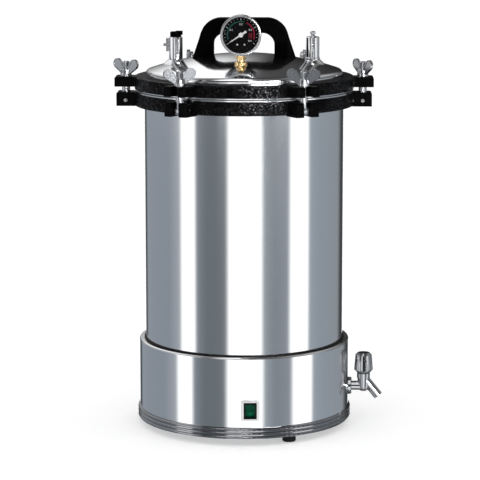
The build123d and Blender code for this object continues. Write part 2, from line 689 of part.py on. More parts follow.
def switch_housing():
    wide, tall = SWITCH_BODY
    body = block(
        (SWITCH_FACE_R - SWITCH_DEPTH, SWITCH_FACE_R),
        (-wide / 2, wide / 2),
        (SWITCH_Z - tall / 2, SWITCH_Z + tall / 2),
    )
    body -= rocker_pocket(ROCKER_PIVOT_DEPTH + SWITCH_ROCKER[1] / 2 + 1.0)
    reach = SWITCH_ROCKER[0] / 2 + 1.6 + ROCKER_GAP
    body -= bar_along_y(TRUNNION_DIA / 2 + RUN_CLEAR, -reach, reach, ROCKER_PIVOT_R, SWITCH_Z)
    for side in (-1, 1):
        tab = block((-9.0, 0.5), (-3.1, 3.1), (-0.4, 0.4))
        body += Pos(SWITCH_FACE_R - SWITCH_DEPTH, 0, SWITCH_Z + side * tall / 4) * tab
    return to_angle(body, SWITCH_ANGLE)


def switch_rocker():
    """The rocker lies tipped to one side at rest, and turns about its trunnions."""
    wide, tall = SWITCH_ROCKER
    half = tall / 2
    drum = bar_along_y(half, -wide / 2, wide / 2)
    keep = block((-half * 0.3, ROCKER_PIVOT_DEPTH + 1.2), (-wide, wide), (-tall, tall))
    rocker = drum & keep
    for side in (-1, 1):
        face = block((ROCKER_PIVOT_DEPTH - 1.4, 20.0), (-wide, wide), (0, tall))
        if side < 0:
            face = mirror(face, Plane.XY)
        rocker -= Rot(Y=side * -ROCKER_TILT) * face
    pegs = bar_along_y(TRUNNION_DIA / 2, -wide / 2 - 1.5, wide / 2 + 1.5)
    rocker = Rot(Y=ROCKER_TILT) * (rocker + pegs)
    return to_angle(Pos(ROCKER_PIVOT_R, 0, SWITCH_Z) * rocker, SWITCH_ANGLE)


def cord_gland():
    """The gland for the mains lead, at the back of the skirt."""
    inside = bar_along_x(GLAND_BODY_DIA / 2, SKIRT_R - GLAND_IN, SKIRT_R + 1, z=GLAND_Z)
    flange = Pos(SKIRT_R, 0, GLAND_Z) * Rot(Y=90) * hexagon(GLAND_HEX, 0, GLAND_OUT * 0.35)
    dome = bar_along_x(GLAND_HEX * 0.42, SKIRT_R + 2, SKIRT_R + GLAND_OUT, z=GLAND_Z)
    dome = fillet(dome.edges().sort_by(Axis.X)[-1], 2.5)
    bore = bar_along_x(GLAND_BORE_DIA / 2, SKIRT_R - GLAND_IN - 1, SKIRT_R + GLAND_OUT + 1, z=GLAND_Z)
    return to_angle(inside + flange + dome - bore, GLAND_ANGLE)


# Swing bolts and wing nuts


def swing_bolt():
    """An eye bolt in its place on the +X side of the bolt circle."""
    half = SLOT_WIDTH / 2 - EYE_SIDE_GAP
    eye = bar_along_y(EYE_DIA / 2, -half, half, BOLT_CIRCLE_R, PIN_Z)
    eye = chamfer(eye.edges(), 0.8)
    shank = rod(SHANK_DIA / 2, PIN_Z, SHANK_TOP_Z, BOLT_CIRCLE_R)
    shank = chamfer(shank.edges().sort_by(Axis.Z)[-1], 0.7)
    thread = rod(THREAD_DIA / 2, SHANK_TOP_Z - 1, BOLT_TOP_Z, BOLT_CIRCLE_R)
    thread = chamfer(thread.edges().sort_by(Axis.Z)[-1], 1.0)
    hole = bar_along_y(PIN_DIA / 2 + RUN_CLEAR, -half - 1, half + 1, BOLT_CIRCLE_R, PIN_Z)
    return eye + shank + thread - hole


def wing_nut(turn):
    """A wing nut on its bolt, turned about the bolt by an angle."""
    hub_r, top_r = NUT_HUB_DIA / 2, NUT_HUB_TOP_DIA / 2
    hub = turned(
        [
            (0, 0),
            (hub_r, 0),
            (hub_r, NUT_HUB_STEP),
            (top_r, NUT_HUB_HEIGHT - 1.0),
            (top_r - 1.0, NUT_HUB_HEIGHT),
            (0, NUT_HUB_HEIGHT),
        ]
    )
    lobe = Pos(WING_SPAN / 2 - WING_LOBE_R, WING_TOP - WING_LOBE_R) * Circle(WING_LOBE_R)
    root = Pos(THREAD_DIA / 2 - 1.0, NUT_HUB_HEIGHT / 2) * Rectangle(*WING_ROOT)
    outline = make_hull(lobe.edges() + root.edges())
    wing = extrude(Plane.XZ * outline, WING_THICK / 2, both=True)
    pocket = extrude(Plane.XZ * offset(outline, -WING_RIM), WING_RIM_DEPTH * 2, both=True)
    for side in (-1, 1):
        wing -= Pos(0, side * (WING_THICK / 2 + WING_RIM_DEPTH), 0) * pocket
    nut = hub + wing + mirror(wing, Plane.YZ)
    nut -= rod(THREAD_DIA / 2 + RUN_CLEAR, -1, WING_TOP + 5)
    return Pos(BOLT_CIRCLE_R, 0, NUT_SEAT_Z) * Rot(Z=turn) * nut


# Lid


def dome_body(sheet):
    """The solid under the dome's outer face, or under its inner face."""
    wall_r = DOME_WALL_R - sheet
    top = DOME_TOP_Z - sheet
    edge_z = crown_height(wall_r, sheet)
    mid_r = wall_r / 2
    crown = ThreePointArc((0, top), (mid_r, crown_height(mid_r, sheet)), (wall_r, edge_z))
    sides = Polyline((wall_r, edge_z), (wall_r, BRIM_Z), (0, BRIM_Z), (0, top))
    solid = revolve(make_face(Plane.XZ * (crown + sides)), Axis.Z)
    rims = [e for e in solid.edges().filter_by(GeomType.CIRCLE) if abs(e.radius - wall_r) < 0.01]
    return fillet(ShapeList(rims).sort_by(Axis.Z)[-1], KNUCKLE_R - sheet)


def lid_dome():
    shell = dome_body(0.0) + rod(BRIM_R, BRIM_Z, BRIM_Z + BRIM_THICK) - dome_body(DOME_SHEET)
    for side in (-1, 1):
        shell -= rod(VALVE_SHANK_DIA / 2 + 0.1, BRIM_Z, DOME_TOP_Z + 9, side * VALVE_X)
        shell -= rod(HANDLE_SCREW_DIA / 2 + 0.2, BRIM_Z, DOME_TOP_Z + 9, side * HANDLE_SCREW_X)
    return shell - rod(GAUGE_THREAD_DIA / 2 + 0.1, BRIM_Z, DOME_TOP_Z + 9, GAUGE_X, GAUGE_Y)


def lid_ring():
    """The upper cast ring and its six open lugs."""
    ring = tube(DOME_WALL_R + RING_CLEAR, FLANGE_R, LID_RING_BOTTOM_Z, LID_RING_TOP_Z)
    ring = fillet(ring.edges().group_by(Axis.Z)[-1].sort_by(SortBy.RADIUS)[-1], 2.0)
    return ring + [to_angle(lid_lug(), angle) for angle in LUG_ANGLES]


def lid_lug():
    cheek = lug_block(FLANGE_R - 6.0, LID_LUG_REACH_R, LID_LUG_BOTTOM_Z, LID_LUG_TOP_Z, LUG_EDGE_R)
    slot = extrude(Pos(BOLT_CIRCLE_R, 0, LID_LUG_BOTTOM_Z - 1) * Circle(SLOT_WIDTH / 2), 40.0)
    mouth = block(
        (BOLT_CIRCLE_R, LID_LUG_REACH_R + 5),
        (-SLOT_WIDTH / 2, SLOT_WIDTH / 2),
        (LID_LUG_BOTTOM_Z - 1, LID_LUG_TOP_Z + 1),
    )
    return cheek - slot - mouth


def lid_gasket():
    outer = BRIM_R - GASKET_EDGE_GAP
    return tube(outer - GASKET_WIDTH, outer, POT_LIP_TOP_Z, BRIM_Z)


def handle():
    """The arched handle, its feet shaped to the dome."""
    low = crown_height(HANDLE_FOOT_HALF) - 6.0
    corners = (HANDLE_KNEE, HANDLE_ELBOW, HANDLE_SHOULDER, (HANDLE_TOP_HALF, 0.0))
    side = [(HANDLE_FOOT_HALF, low)]
    side += [(x, HANDLE_TOP_Z - drop) for x, drop in corners]
    outline = side + [(-x, z) for x, z in reversed(side)]
    arch = extrude(make_face(Plane.XZ * Polyline(*outline, close=True)), HANDLE_THICK / 2, both=True)
    arch = fillet(arch.edges().filter_by(Axis.Y).sort_by(Axis.Z)[2:], 5.0)
    sides = arch.faces().filter_by(Axis.Y).edges()
    arch = fillet(sides.filter_by(lambda e: e.center().Z > low + 1), HANDLE_EDGE_R)
    half = HANDLE_GAP_HALF
    gap = block((-half, half), (-HANDLE_THICK, HANDLE_THICK), (low - 5, HANDLE_GAP_TOP_Z))
    gap = fillet(gap.edges().filter_by(Axis.Y).group_by(Axis.Z)[-1], HANDLE_GAP_CORNER)
    arch = arch - gap
    arch -= dome_body(0.0)
    for side in (-1, 1):
        x = side * HANDLE_SCREW_X
        top = crown_height(HANDLE_SCREW_X) + HANDLE_SCREW_DEPTH
        arch -= rod(HANDLE_SCREW_DIA / 2 + 0.05, BRIM_Z, top, x)
    return arch


def handle_screws():
    """A pan-head screw up into each foot of the handle, from under the dome."""
    made = []
    for side in (-1, 1):
        x = side * HANDLE_SCREW_X
        seat = crown_height(HANDLE_SCREW_X + HANDLE_SCREW_DIA, DOME_SHEET)
        top = crown_height(HANDLE_SCREW_X) + HANDLE_SCREW_DEPTH - 1.0
        screw = rod(HANDLE_SCREW_DIA / 2, seat, top, x)
        made.append(screw + rod(HANDLE_SCREW_DIA, seat - HANDLE_SCREW_DIA * 0.6, seat, x))
    return made


# Pressure gauge


def gauge_case():
    """A round case with a rolled bezel, open at the front."""
    radius = GAUGE_DIA / 2
    case = bar_along_y(radius - 1.2, GAUGE_FACE_Y + 3, GAUGE_BACK_Y, GAUGE_X, GAUGE_Z)
    case = fillet(case.edges().sort_by(Axis.Y)[-1], 2.5)
    bezel = bar_along_y(radius, GAUGE_FACE_Y, GAUGE_FACE_Y + 6, GAUGE_X, GAUGE_Z)
    case += fillet(bezel.edges().sort_by(Axis.Y)[0], 1.6)
    inside_r = radius - 1.2 - GAUGE_WALL
    back = GAUGE_BACK_Y - GAUGE_WALL
    hollow = bar_along_y(inside_r, GAUGE_FACE_Y + 2, back, GAUGE_X, GAUGE_Z)
    mouth = bar_along_y(radius - BEZEL_LIP, GAUGE_FACE_Y - 1, GAUGE_FACE_Y + 3, GAUGE_X, GAUGE_Z)
    neck = rod(GAUGE_NECK_DIA / 2 + 0.1, GAUGE_Z - radius - 2, GAUGE_Z - radius + 8, GAUGE_X, GAUGE_Y)
    return case - hollow - mouth - neck


def gauge_lens():
    radius = GAUGE_DIA / 2 - 1.2 - GAUGE_WALL - 0.05
    front = GAUGE_FACE_Y + 2
    return bar_along_y(radius, front, front + LENS_THICK, GAUGE_X, GAUGE_Z)


def gauge_dial():
    radius = GAUGE_DIA / 2 - 1.2 - GAUGE_WALL - 0.05
    front = GAUGE_FACE_Y + DIAL_DEPTH
    plate = bar_along_y(radius, front, front + DIAL_THICK, GAUGE_X, GAUGE_Z)
    return plate - bar_along_y(1.2, front - 1, front + 5, GAUGE_X, GAUGE_Z)


def gauge_pointer():
    """The needle and its arbor. At rest it points down to the left, at zero."""
    hub_y = GAUGE_FACE_Y + DIAL_DEPTH
    upper = [(-POINTER_LENGTH, 0.35), (-2.5, 1.1), (POINTER_TAIL, 1.6)]
    outline = upper + [(x, -z) for x, z in reversed(upper)]
    needle = extrude(make_face(Plane.XZ * Polyline(*outline, close=True)), 0.6)
    needle = Rot(Y=-POINTER_REST_ANGLE) * needle
    hub = bar_along_y(3.2, -0.9, 0.2)
    arbor = bar_along_y(1.0, 0, DIAL_THICK + 3.0)
    return Pos(GAUGE_X, hub_y - 1.0, GAUGE_Z) * (needle + hub + arbor)


def bourdon_tube():
    """The curved tube behind the dial and the socket that feeds it."""
    y = GAUGE_Y
    ring = Rot(X=-90) * Torus(BOURDON_R, BOURDON_TUBE_R)
    gap = block((-30, 0), (-10, 10), (-30, 2))
    curl = Pos(GAUGE_X, y, GAUGE_Z) * (ring - gap)
    low = GAUGE_Z - BOURDON_R - 6.0
    socket = block((GAUGE_X - 5, GAUGE_X + 5), (y - 4, y + 4), (low, low + 9))
    return curl + socket


def gauge_stem():
    """The brass stem: thread through the dome, hexagon, and neck into the case."""
    nut_top = crown_height(math.hypot(GAUGE_X, GAUGE_Y)) + GAUGE_NUT_HEIGHT
    case_low = GAUGE_Z - GAUGE_DIA / 2
    hex_low = nut_top + GAUGE_HEX_GAP
    stem = rod(GAUGE_THREAD_DIA / 2, nut_top - 18, hex_low, GAUGE_X, GAUGE_Y)
    stem += hexagon(GAUGE_HEX, hex_low, case_low - 0.6, GAUGE_X, GAUGE_Y)
    stem += rod(GAUGE_NECK_DIA / 2, case_low - 1, GAUGE_Z - BOURDON_R - 6.0, GAUGE_X, GAUGE_Y)
    return stem - rod(1.5, nut_top - 20, case_low, GAUGE_X, GAUGE_Y)


def gauge_nut():
    """The brass nut that holds the gauge's stem to the dome."""
    seat = crown_height(math.hypot(GAUGE_X, GAUGE_Y))
    nut = rod(GAUGE_NUT_DIA / 2, seat - 3, seat + GAUGE_NUT_HEIGHT, GAUGE_X, GAUGE_Y)
    nut = chamfer(nut.edges().sort_by(Axis.Z)[-1], 0.8)
    nut -= rod(GAUGE_THREAD_DIA / 2 + 0.05, 0, seat + 20, GAUGE_X, GAUGE_Y)
    return nut - dome_body(0.0)


# Valves


def valve_bosses():
    """Turned seats on the dome, one for each valve."""
    made = []
    for side in (-1, 1):
        boss = Pos(side * VALVE_X, 0, BOSS_TOP_Z - BOSS_HEIGHT) * Cone(
            BOSS_BASE_DIA / 2,
            BOSS_TOP_DIA / 2,
            BOSS_HEIGHT,
            align=(Align.CENTER, Align.CENTER, Align.MIN),
        )
        boss -= rod(VALVE_SHANK_DIA / 2 + 0.1, BRIM_Z, DOME_TOP_Z + 9, side * VALVE_X)
        made.append(boss - dome_body(0.0))
    return made


def safety_valve_body():
    r, bore = SAFETY_DIA / 2, SAFETY_BORE_DIA / 2
    collar = BOSS_TOP_Z + SAFETY_COLLAR_HEIGHT
    profile = [
        (3.0, VALVE_SHANK_BOTTOM_Z),
        (VALVE_SHANK_DIA / 2, VALVE_SHANK_BOTTOM_Z),
        (VALVE_SHANK_DIA / 2, BOSS_TOP_Z),
        (SAFETY_COLLAR_DIA / 2, BOSS_TOP_Z),
        (SAFETY_COLLAR_DIA / 2, collar - 1.0),
        (r, collar),
        (r, SAFETY_TOP_Z - 1.2),
        (r - 1.2, SAFETY_TOP_Z),
        (SAFETY_STEM_DIA / 2 + RUN_CLEAR, SAFETY_TOP_Z),
        (SAFETY_STEM_DIA / 2 + RUN_CLEAR, SAFETY_TOP_Z - SAFETY_COVER),
        (bore, SAFETY_TOP_Z - SAFETY_COVER),
        (bore, SAFETY_SEAT_Z),
        (3.0, SAFETY_SEAT_Z),
    ]
    body = turned(profile)
    for height in SAFETY_PORT_HEIGHTS:
        body -= bar_along_y(1.5, -r - 1, 0, z=BOSS_TOP_Z + height)
    return Pos(VALVE_X, 0, 0) * body


def safety_valve_spring():
    top = SAFETY_TOP_Z - SAFETY_COVER
    return tube(3.4, 5.2, SAFETY_SEAT_Z + 2.5, top, VALVE_X)


def safety_valve_stem():
    """The valve disc, its stem and the test knob on top."""
    knob_low = SAFETY_TOP_Z + 0.3
    knob_r = SAFETY_KNOB_DIA / 2
    profile = [
        (0, SAFETY_SEAT_Z),
        (SAFETY_BORE_DIA / 2 - 0.6, SAFETY_SEAT_Z),
        (SAFETY_BORE_DIA / 2 - 0.6, SAFETY_SEAT_Z + 2.5),
        (SAFETY_STEM_DIA / 2, SAFETY_SEAT_Z + 2.5),
        (SAFETY_STEM_DIA / 2, knob_low),
        (knob_r + 0.8, knob_low),
        (knob_r - 1.4, knob_low + 2.6),
        (knob_r, knob_low + 4.2),
        (knob_r, SAFETY_KNOB_TOP_Z - 1.0),
        (knob_r - 1.0, SAFETY_KNOB_TOP_Z),
        (0, SAFETY_KNOB_TOP_Z),
    ]
    return Pos(VALVE_X, 0, 0) * turned(profile)


def vent_valve_body():
    r = VENT_DIA / 2
    body = turned(
        [
            (VENT_BORE_DIA / 2, VALVE_SHANK_BOTTOM_Z),
            (VALVE_SHANK_DIA / 2, VALVE_SHANK_BOTTOM_Z),
            (VALVE_SHANK_DIA / 2, BOSS_TOP_Z),
            (r - 1.0, BOSS_TOP_Z),
            (r, BOSS_TOP_Z + 1.0),
            (r, VENT_TOP_Z - 1.0),
            (r - 1.0, VENT_TOP_Z),
            (VENT_BORE_DIA / 2, VENT_TOP_Z),
        ]
    )
    seat = bar_along_x(COCK_PLUG_DIA / 2 + RUN_CLEAR, -r - 1, r * 0.6, z=COCK_Z)
    return Pos(-VALVE_X, 0, 0) * (body - seat)


def vent_valve_cap():
    """The black cap over the vent, with a finger tab to one side."""
    r = VENT_CAP_DIA / 2
    cap = rod(r, VENT_TOP_Z, VENT_CAP_TOP_Z - 1.0)
    cap = fillet(cap.edges().sort_by(Axis.Z)[-1], 1.2)
    tab = block((0, r + 1.8), (-3.5, 3.5), (VENT_TOP_Z + 3.0, VENT_CAP_TOP_Z))
    tab = fillet(tab.edges().filter_by(Axis.Z).group_by(Axis.X)[-1], 2.0)
    plug = rod(VENT_BORE_DIA / 2 - 0.1, VENT_TOP_Z - 4, VENT_TOP_Z + 0.5)
    return Pos(-VALVE_X, 0, 0) * (cap + tab + plug)


def vent_cock():
    """The cross plug of the vent and its small bar handle."""
    r = VENT_DIA / 2
    plug = bar_along_x(COCK_PLUG_DIA / 2, -r - 0.4, r * 0.6 - 0.3)
    neck = bar_along_x(COCK_PLUG_DIA * 0.32, -COCK_REACH, 0)
    neck = chamfer(neck.edges().sort_by(Axis.X)[0], 0.6)
    wide, deep, tall = COCK_BAR
    bar = block((-r - 0.4 - wide, -r - 0.4), (-deep / 2, deep / 2), (-tall / 2, tall / 2))
    bar = fillet(bar.edges().filter_by(Axis.X), 2.0)
    cock = plug + neck - bar_along_y(VENT_BORE_DIA / 2 - 0.5, -20, 20) + bar
    return Pos(-VALVE_X, 0, COCK_Z) * cock


def exhaust_tube():
    """The inside tube from the vent down into the bucket's channel."""
    drop = VALVE_SHANK_BOTTOM_Z - EXHAUST_DIA
    route = FilletPolyline(
        (-VALVE_X, 0, VALVE_SHANK_BOTTOM_Z),
        (-VALVE_X, 0, drop),
        (-CHANNEL_X, 0, BUCKET_TOP_Z + 8.0),
        (-CHANNEL_X, 0, EXHAUST_BOTTOM_Z),
        radius=EXHAUST_BEND_R,
    )
    start = Plane(origin=(-VALVE_X, 0, VALVE_SHANK_BOTTOM_Z), z_dir=(0, 0, -1))
    outer = sweep(start * Circle(EXHAUST_DIA / 2), path=route)
    return outer - sweep(start * Circle(EXHAUST_BORE_DIA / 2), path=route)


# Bucket


def bucket():
    shell = rod(BUCKET_R, SIEVE_TOP_Z, BUCKET_TOP_Z)
    shell = fillet(shell.edges().sort_by(Axis.Z)[0], BUCKET_CORNER)
    inside = rod(BUCKET_R - BUCKET_WALL, SIEVE_TOP_Z + BUCKET_WALL, BUCKET_TOP_Z + 1)
    inside = fillet(inside.edges().sort_by(Axis.Z)[0], BUCKET_CORNER - BUCKET_WALL)
    rim = Pos(0, 0, BUCKET_TOP_Z - BUCKET_RIM_R) * Torus(BUCKET_R + BUCKET_RIM_R - 1.0, BUCKET_RIM_R)
    shell = shell - inside + (rim - rod(BUCKET_R - BUCKET_WALL, 0, BUCKET_TOP_Z + 9))
    holes = []
    for ring in range(1, SIEVE_RINGS + 1):
        for k in range(6):
            x, y = outward(60.0 * k + 30.0 * ring, ring * SIEVE_PITCH)
            holes.append(rod(3.0, SIEVE_TOP_Z - 1, SIEVE_TOP_Z + BUCKET_WALL + 1, x, y))
    return shell - holes


def bucket_channel():
    """The tube inside the bucket's wall that the exhaust tube hangs in."""
    low = SIEVE_TOP_Z + CHANNEL_END_GAP
    high = BUCKET_TOP_Z - CHANNEL_BELOW_RIM
    channel = tube(CHANNEL_DIA / 2 - CHANNEL_WALL, CHANNEL_DIA / 2, low, high, -CHANNEL_X)
    strap_low = SIEVE_TOP_Z + BUCKET_HEIGHT * 0.2
    strap_high = SIEVE_TOP_Z + BUCKET_HEIGHT * 0.8
    for z in (strap_low, strap_high):
        half = STRAP_WIDTH / 2
        strap = block((-BUCKET_R - 5, -CHANNEL_X), (-half, half), (z, z + STRAP_HEIGHT))
        strap -= rod(CHANNEL_DIA / 2 - 0.2, 0, BUCKET_TOP_Z + 1, -CHANNEL_X)
        strap &= rod(BUCKET_R - BUCKET_WALL - 0.02, 0, BUCKET_TOP_Z)
        channel += strap & rod(CHANNEL_DIA / 2 + 6.0, 0, BUCKET_TOP_Z, -CHANNEL_X)
    return channel & rod(BUCKET_R - BUCKET_WALL - 0.02, 0, BUCKET_TOP_Z)


def bail_ears():
    """Two riveted ears at the front and back that the bail turns in."""
    made = []
    outer = BUCKET_R - BUCKET_WALL - 0.6
    for side in (-1, 1):
        ear = block((outer - EAR_THICK, outer), (-EAR_WIDTH / 2, EAR_WIDTH / 2), (BAIL_Z - EAR_DROP, BAIL_Z))
        ear += bar_along_x(EAR_WIDTH / 2, outer - EAR_THICK, outer, z=BAIL_Z)
        ear -= bar_along_x(BAIL_WIRE_DIA / 2 + 0.1, 0, BUCKET_R, z=BAIL_Z)
        rivet_z = BAIL_Z - EAR_DROP + 6.0
        ear += bar_along_x(3.0, outer - EAR_THICK - 1.2, outer + 0.4, z=rivet_z)
        made.append(Rot(Z=side * 90) * ear)
    return made


def bail():
    """The bucket's wire bail, lying flat over the rim on the right."""
    wire = BAIL_WIRE_DIA / 2
    circle = Plane.XZ * Pos(BAIL_R, 0) * Circle(wire)
    arc = Rot(Z=-90) * revolve(circle, Axis.Z, 180)
    end = BUCKET_R - BUCKET_WALL - 0.9
    for side in (-1, 1):
        low, high = sorted((side * (BAIL_R), side * end))
        arc += bar_along_y(wire, low, high)
        arc += Pos(0, side * (BAIL_R), 0) * Sphere(wire)
    return Pos(0, 0, BAIL_Z) * arc


PIECES = {
    "pot": pot,
    "pot_lip": pot_lip,
    "body_flange": body_flange,
    "hinge_pins": hinge_pins,
    "base_skirt": base_skirt,
    "skirt_seal": skirt_seal,
    "base_ring": base_ring,
    "bottom_plate": bottom_plate,
    "support_posts": support_posts,
    "feet": feet,
    "foot_screws": foot_screws,
    "heater_element": heater_element,
    "heater_nuts": heater_nuts,
    "sieve_plate": sieve_plate,
    "drain_pipe": drain_pipe,
    "tap_nut": tap_nut,
    "tap_body": tap_body,
    "tap_bonnet": tap_bonnet,
    "tap_stem": tap_stem,
    "tap_knob": tap_knob,
    "switch_bezel": switch_bezel,
    "switch_housing": switch_housing,
    "switch_rocker": switch_rocker,
    "cord_gland": cord_gland,
    "lid_dome": lid_dome,
    "lid_ring": lid_ring,
    "lid_gasket": lid_gasket,
    "handle": handle,
    "handle_screws": handle_screws,
    "gauge_case": gauge_case,
    "gauge_lens": gauge_lens,
    "gauge_dial": gauge_dial,
    "gauge_pointer": gauge_pointer,
    "bourdon_tube": bourdon_tube,
    "gauge_stem": gauge_stem,
    "gauge_nut": gauge_nut,
    "valve_bosses": valve_bosses,
    "safety_valve_body": safety_valve_body,
    "safety_valve_spring": safety_valve_spring,
    "safety_valve_stem": safety_valve_stem,
    "vent_valve_body": vent_valve_body,
    "vent_valve_cap": vent_valve_cap,
    "vent_cock": vent_cock,
    "exhaust_tube": exhaust_tube,
    "bucket": bucket,
    "bucket_channel": bucket_channel,
    "bail_ears": bail_ears,
    "bail": bail,
}


def all_pieces():
    """Every node's name and what it is made of."""
    made = {name: make() for name, make in PIECES.items()}
    for k, angle in enumerate(LUG_ANGLES):
        made[f"swing_bolt_{k + 1}"] = to_angle(swing_bolt(), angle)
        made[f"wing_nut_{k + 1}"] = to_angle(wing_nut(WING_TURNS[k % len(WING_TURNS)]), angle)
    return made


os.makedirs("parts", exist_ok=True)
for name, shape in all_pieces().items():
    solids = shape if isinstance(shape, list) else [shape]
    group = Compound(children=[s for piece in solids for s in piece.solids()])
    export_step(group, f"parts/{name}.step")
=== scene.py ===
"""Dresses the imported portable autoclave: finishes for its CAD pieces, finer pieces where the
CAD ones are plain, and a pale studio round it. Metres, +Z up, the gauge and switch face -Y."""

import json
import math

import bmesh
import bpy
from bpy.props import FloatProperty, FloatVectorProperty, PointerProperty
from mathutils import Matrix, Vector


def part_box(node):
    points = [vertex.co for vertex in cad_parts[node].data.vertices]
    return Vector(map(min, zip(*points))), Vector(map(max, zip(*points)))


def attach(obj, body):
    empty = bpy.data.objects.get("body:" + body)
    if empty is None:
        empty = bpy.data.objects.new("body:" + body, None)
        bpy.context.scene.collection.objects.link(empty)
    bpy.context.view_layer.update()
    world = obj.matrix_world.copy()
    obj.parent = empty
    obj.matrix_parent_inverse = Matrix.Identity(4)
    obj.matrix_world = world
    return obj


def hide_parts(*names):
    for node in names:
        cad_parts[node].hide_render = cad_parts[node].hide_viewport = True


bl_info = {
    "name": "Portable autoclave",
    "version": (1, 0, 0),
    "blender": (4, 5, 0),
    "location": "3D View > Sidebar > Autoclave",
    "description": "Builds the looks of a portable autoclave round its packed model",
    "category": "Object",
}

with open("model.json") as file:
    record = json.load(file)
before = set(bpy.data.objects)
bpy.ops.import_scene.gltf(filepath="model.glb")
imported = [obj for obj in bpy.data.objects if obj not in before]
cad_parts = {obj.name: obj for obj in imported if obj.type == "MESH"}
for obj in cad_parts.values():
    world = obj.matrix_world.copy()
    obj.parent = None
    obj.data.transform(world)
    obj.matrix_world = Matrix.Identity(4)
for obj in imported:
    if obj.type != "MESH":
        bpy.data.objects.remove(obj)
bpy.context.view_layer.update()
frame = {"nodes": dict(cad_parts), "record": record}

MM = 0.001
FULL_TURN = 360.0

# The studio's floor and camera, in metres but for the sensor, which is in millimetres
FLOOR_RADIUS = 2.6
FLOOR_SIDES = 96
FLOOR_PAINT = ((0.80, 0.80, 0.80), (0.84, 0.84, 0.84))
SENSOR_WIDTH = 36.0
VIEW_END = 50.0

# The cards that reflections see: azimuth from the front in degrees, positive to the right, and
# the shade there, which is one grey or red, green and blue. First the ring below the horizon.
DARK = (0.03, 0.035, 0.037)
LOW_CARDS = (
    (-180, 0.9), (-171, 0.8), (-167, DARK), (-158, DARK),
    (-150, (0.19, 0.21, 0.235)), (-96, (0.18, 0.205, 0.235)), (-79, (0.26, 0.28, 0.30)),
    (-74, 1.0), (-59, 1.0),
    (-55, (0.15, 0.17, 0.19)), (-42, (0.105, 0.122, 0.135)), (-20, (0.11, 0.125, 0.135)),
    (-15, 1.0), (20, 1.0),
    (24, (0.22, 0.25, 0.27)), (36, (0.16, 0.18, 0.20)), (53, (0.18, 0.20, 0.225)),
    (58, 1.0), (79, 1.0),
    (83, (0.23, 0.26, 0.29)), (100, (0.20, 0.23, 0.26)), (140, (0.19, 0.205, 0.22)),
    (152, DARK), (166, DARK), (170, 0.8), (180, 0.9),
)
# The ring just under the horizon, which surfaces that lean back a little reflect
HIGH_CARDS = (
    (-180, DARK), (-150, DARK), (-140, 0.5), (-84, 0.55), (-80, 1.0), (-58, 1.0), (-54, 0.3),
    (-30, 0.22), (-26, 0.9), (-14, 0.8), (-10, 0.012), (12, 0.012), (16, 0.06), (34, 0.10),
    (40, 0.9), (62, 1.0), (66, 0.35), (110, 0.3), (150, 0.12), (180, DARK),
)
# The ceiling on the camera's side, up to FRONT_BREAK and above it
FRONT_LOW = (
    (-180, 0.3), (-90, 0.2), (-70, 0.5), (-50, 0.4), (-44, 0.04), (50, 0.04), (56, 0.25),
    (90, 0.15), (180, 0.3),
)
FRONT_HIGH = (
    (-180, 0.2), (-60, 0.12), (-42, 0.1), (-34, 0.9), (12, 1.0), (18, 0.1), (60, 0.08),
    (180, 0.2),
)
# The ceiling on the far side, from left (-1) to right (1), and how it gains with height
BACK_CEILING = (
    (-1, 0.4), (-0.4, 0.75), (-0.08, 0.9), (-0.02, 0.35), (0.02, 0.05), (0.2, 0.03),
    (0.35, 0.10), (0.6, 0.3), (1, 0.3),
)
BACK_RISE = (
    (0.0, 0.12), (0.08, 0.2), (0.2, 0.38), (0.36, 0.75), (0.5, 1.0), (0.86, 1.0),
    (0.95, 0.25), (1.0, 0.05),
)
# Shade of what lies under the object, past the lower end of UNDER_TOP
UNDER_SHADE = (0.20, 0.205, 0.215)
# Sines of the heights between which one ring of cards gives way to the next
UNDER_TOP = (-0.86, -0.70)
CARD_TOP = (-0.0915, -0.0835)
CEILING_LOW = (0.0, 0.06)
FRONT_BREAK = (0.42, 0.52)
# Distance behind the axis, on a sphere of radius 1, over which the far ceiling takes over
BACK_START = (-0.1, 0.1)
# A small strong lamp that only gloss shows: azimuths, sines of its heights, and brightness
LAMP_SIDES = (9, 42)
LAMP_HEIGHTS = (0.04, 0.21)
LAMP_GLOW = 20.0

# Finishes of pieces that are darker than their slot's: name, colour, roughness, ripple and grain.
# On the gauge case, the vent cock and the base ring this is painted shade: their chrome is given a
# darker colour that stands for the dark surroundings they reflect.
DARKER_PLATING = {
    "gauge_case": ("case_chrome_painted_shade", (0.46, 0.465, 0.48), 0.16, 0.05, 0.004),
    "hinge_pins": ("pin_steel", (0.20, 0.20, 0.21), 0.25, 0.1, 0.002),
    "vent_cock": ("cock_chrome_painted_shade", (0.34, 0.345, 0.36), 0.12, 0.08, 0.003),
    "base_ring": ("ring_chrome_painted_shade", (0.30, 0.305, 0.32), 0.07, 0.05, 0.004),
}
TAP_NODES = ("tap_nut", "tap_body", "tap_bonnet", "tap_stem", "tap_knob")
# Painted shade: the tap's chrome is darker to stand for the dark surroundings it reflects
TAP_DARKER_PLATING = ("tap_chrome_painted_shade", (0.40, 0.405, 0.42), 0.08, 0.10, 0.003)

BLACK = (0.0, 0.0, 0.0)
WHITE = (1.0, 1.0, 1.0)
# Radii between which the cast rings' rims lie, and the shine of the crests on them
RIM_BAND = (0.1535, 0.1572)
CREST_SHINE = (0.032, 0.032, 0.034)
CREST_ROUGHNESS = 0.06
# The rocker's painted glow: the share of the rocker's height at which its brightest spot stands,
# and how far that glow reaches. The spot is a painted highlight.
GLOW_SPOT_SHARE = 0.28
GLOW_SPOT_REACH = 0.0075

# The gauge's dial: the angle of its zero mark and its sweep, in degrees, and its marks
DIAL_ZERO = 213.6
DIAL_SWEEP = 247.2
DIAL_STEPS = 20
DIAL_MINOR = 5
DIAL_NUMBERS = ("0", "0.1", "0.2", "0.3", "0.4")
# Length and width of the short and the long ticks, and the share of the width that is edge
TICK_SIZES = ((0.0016, 0.00032), (0.0030, 0.00055))
TICK_EDGE = 0.2
NUMBER_CURVE = 4
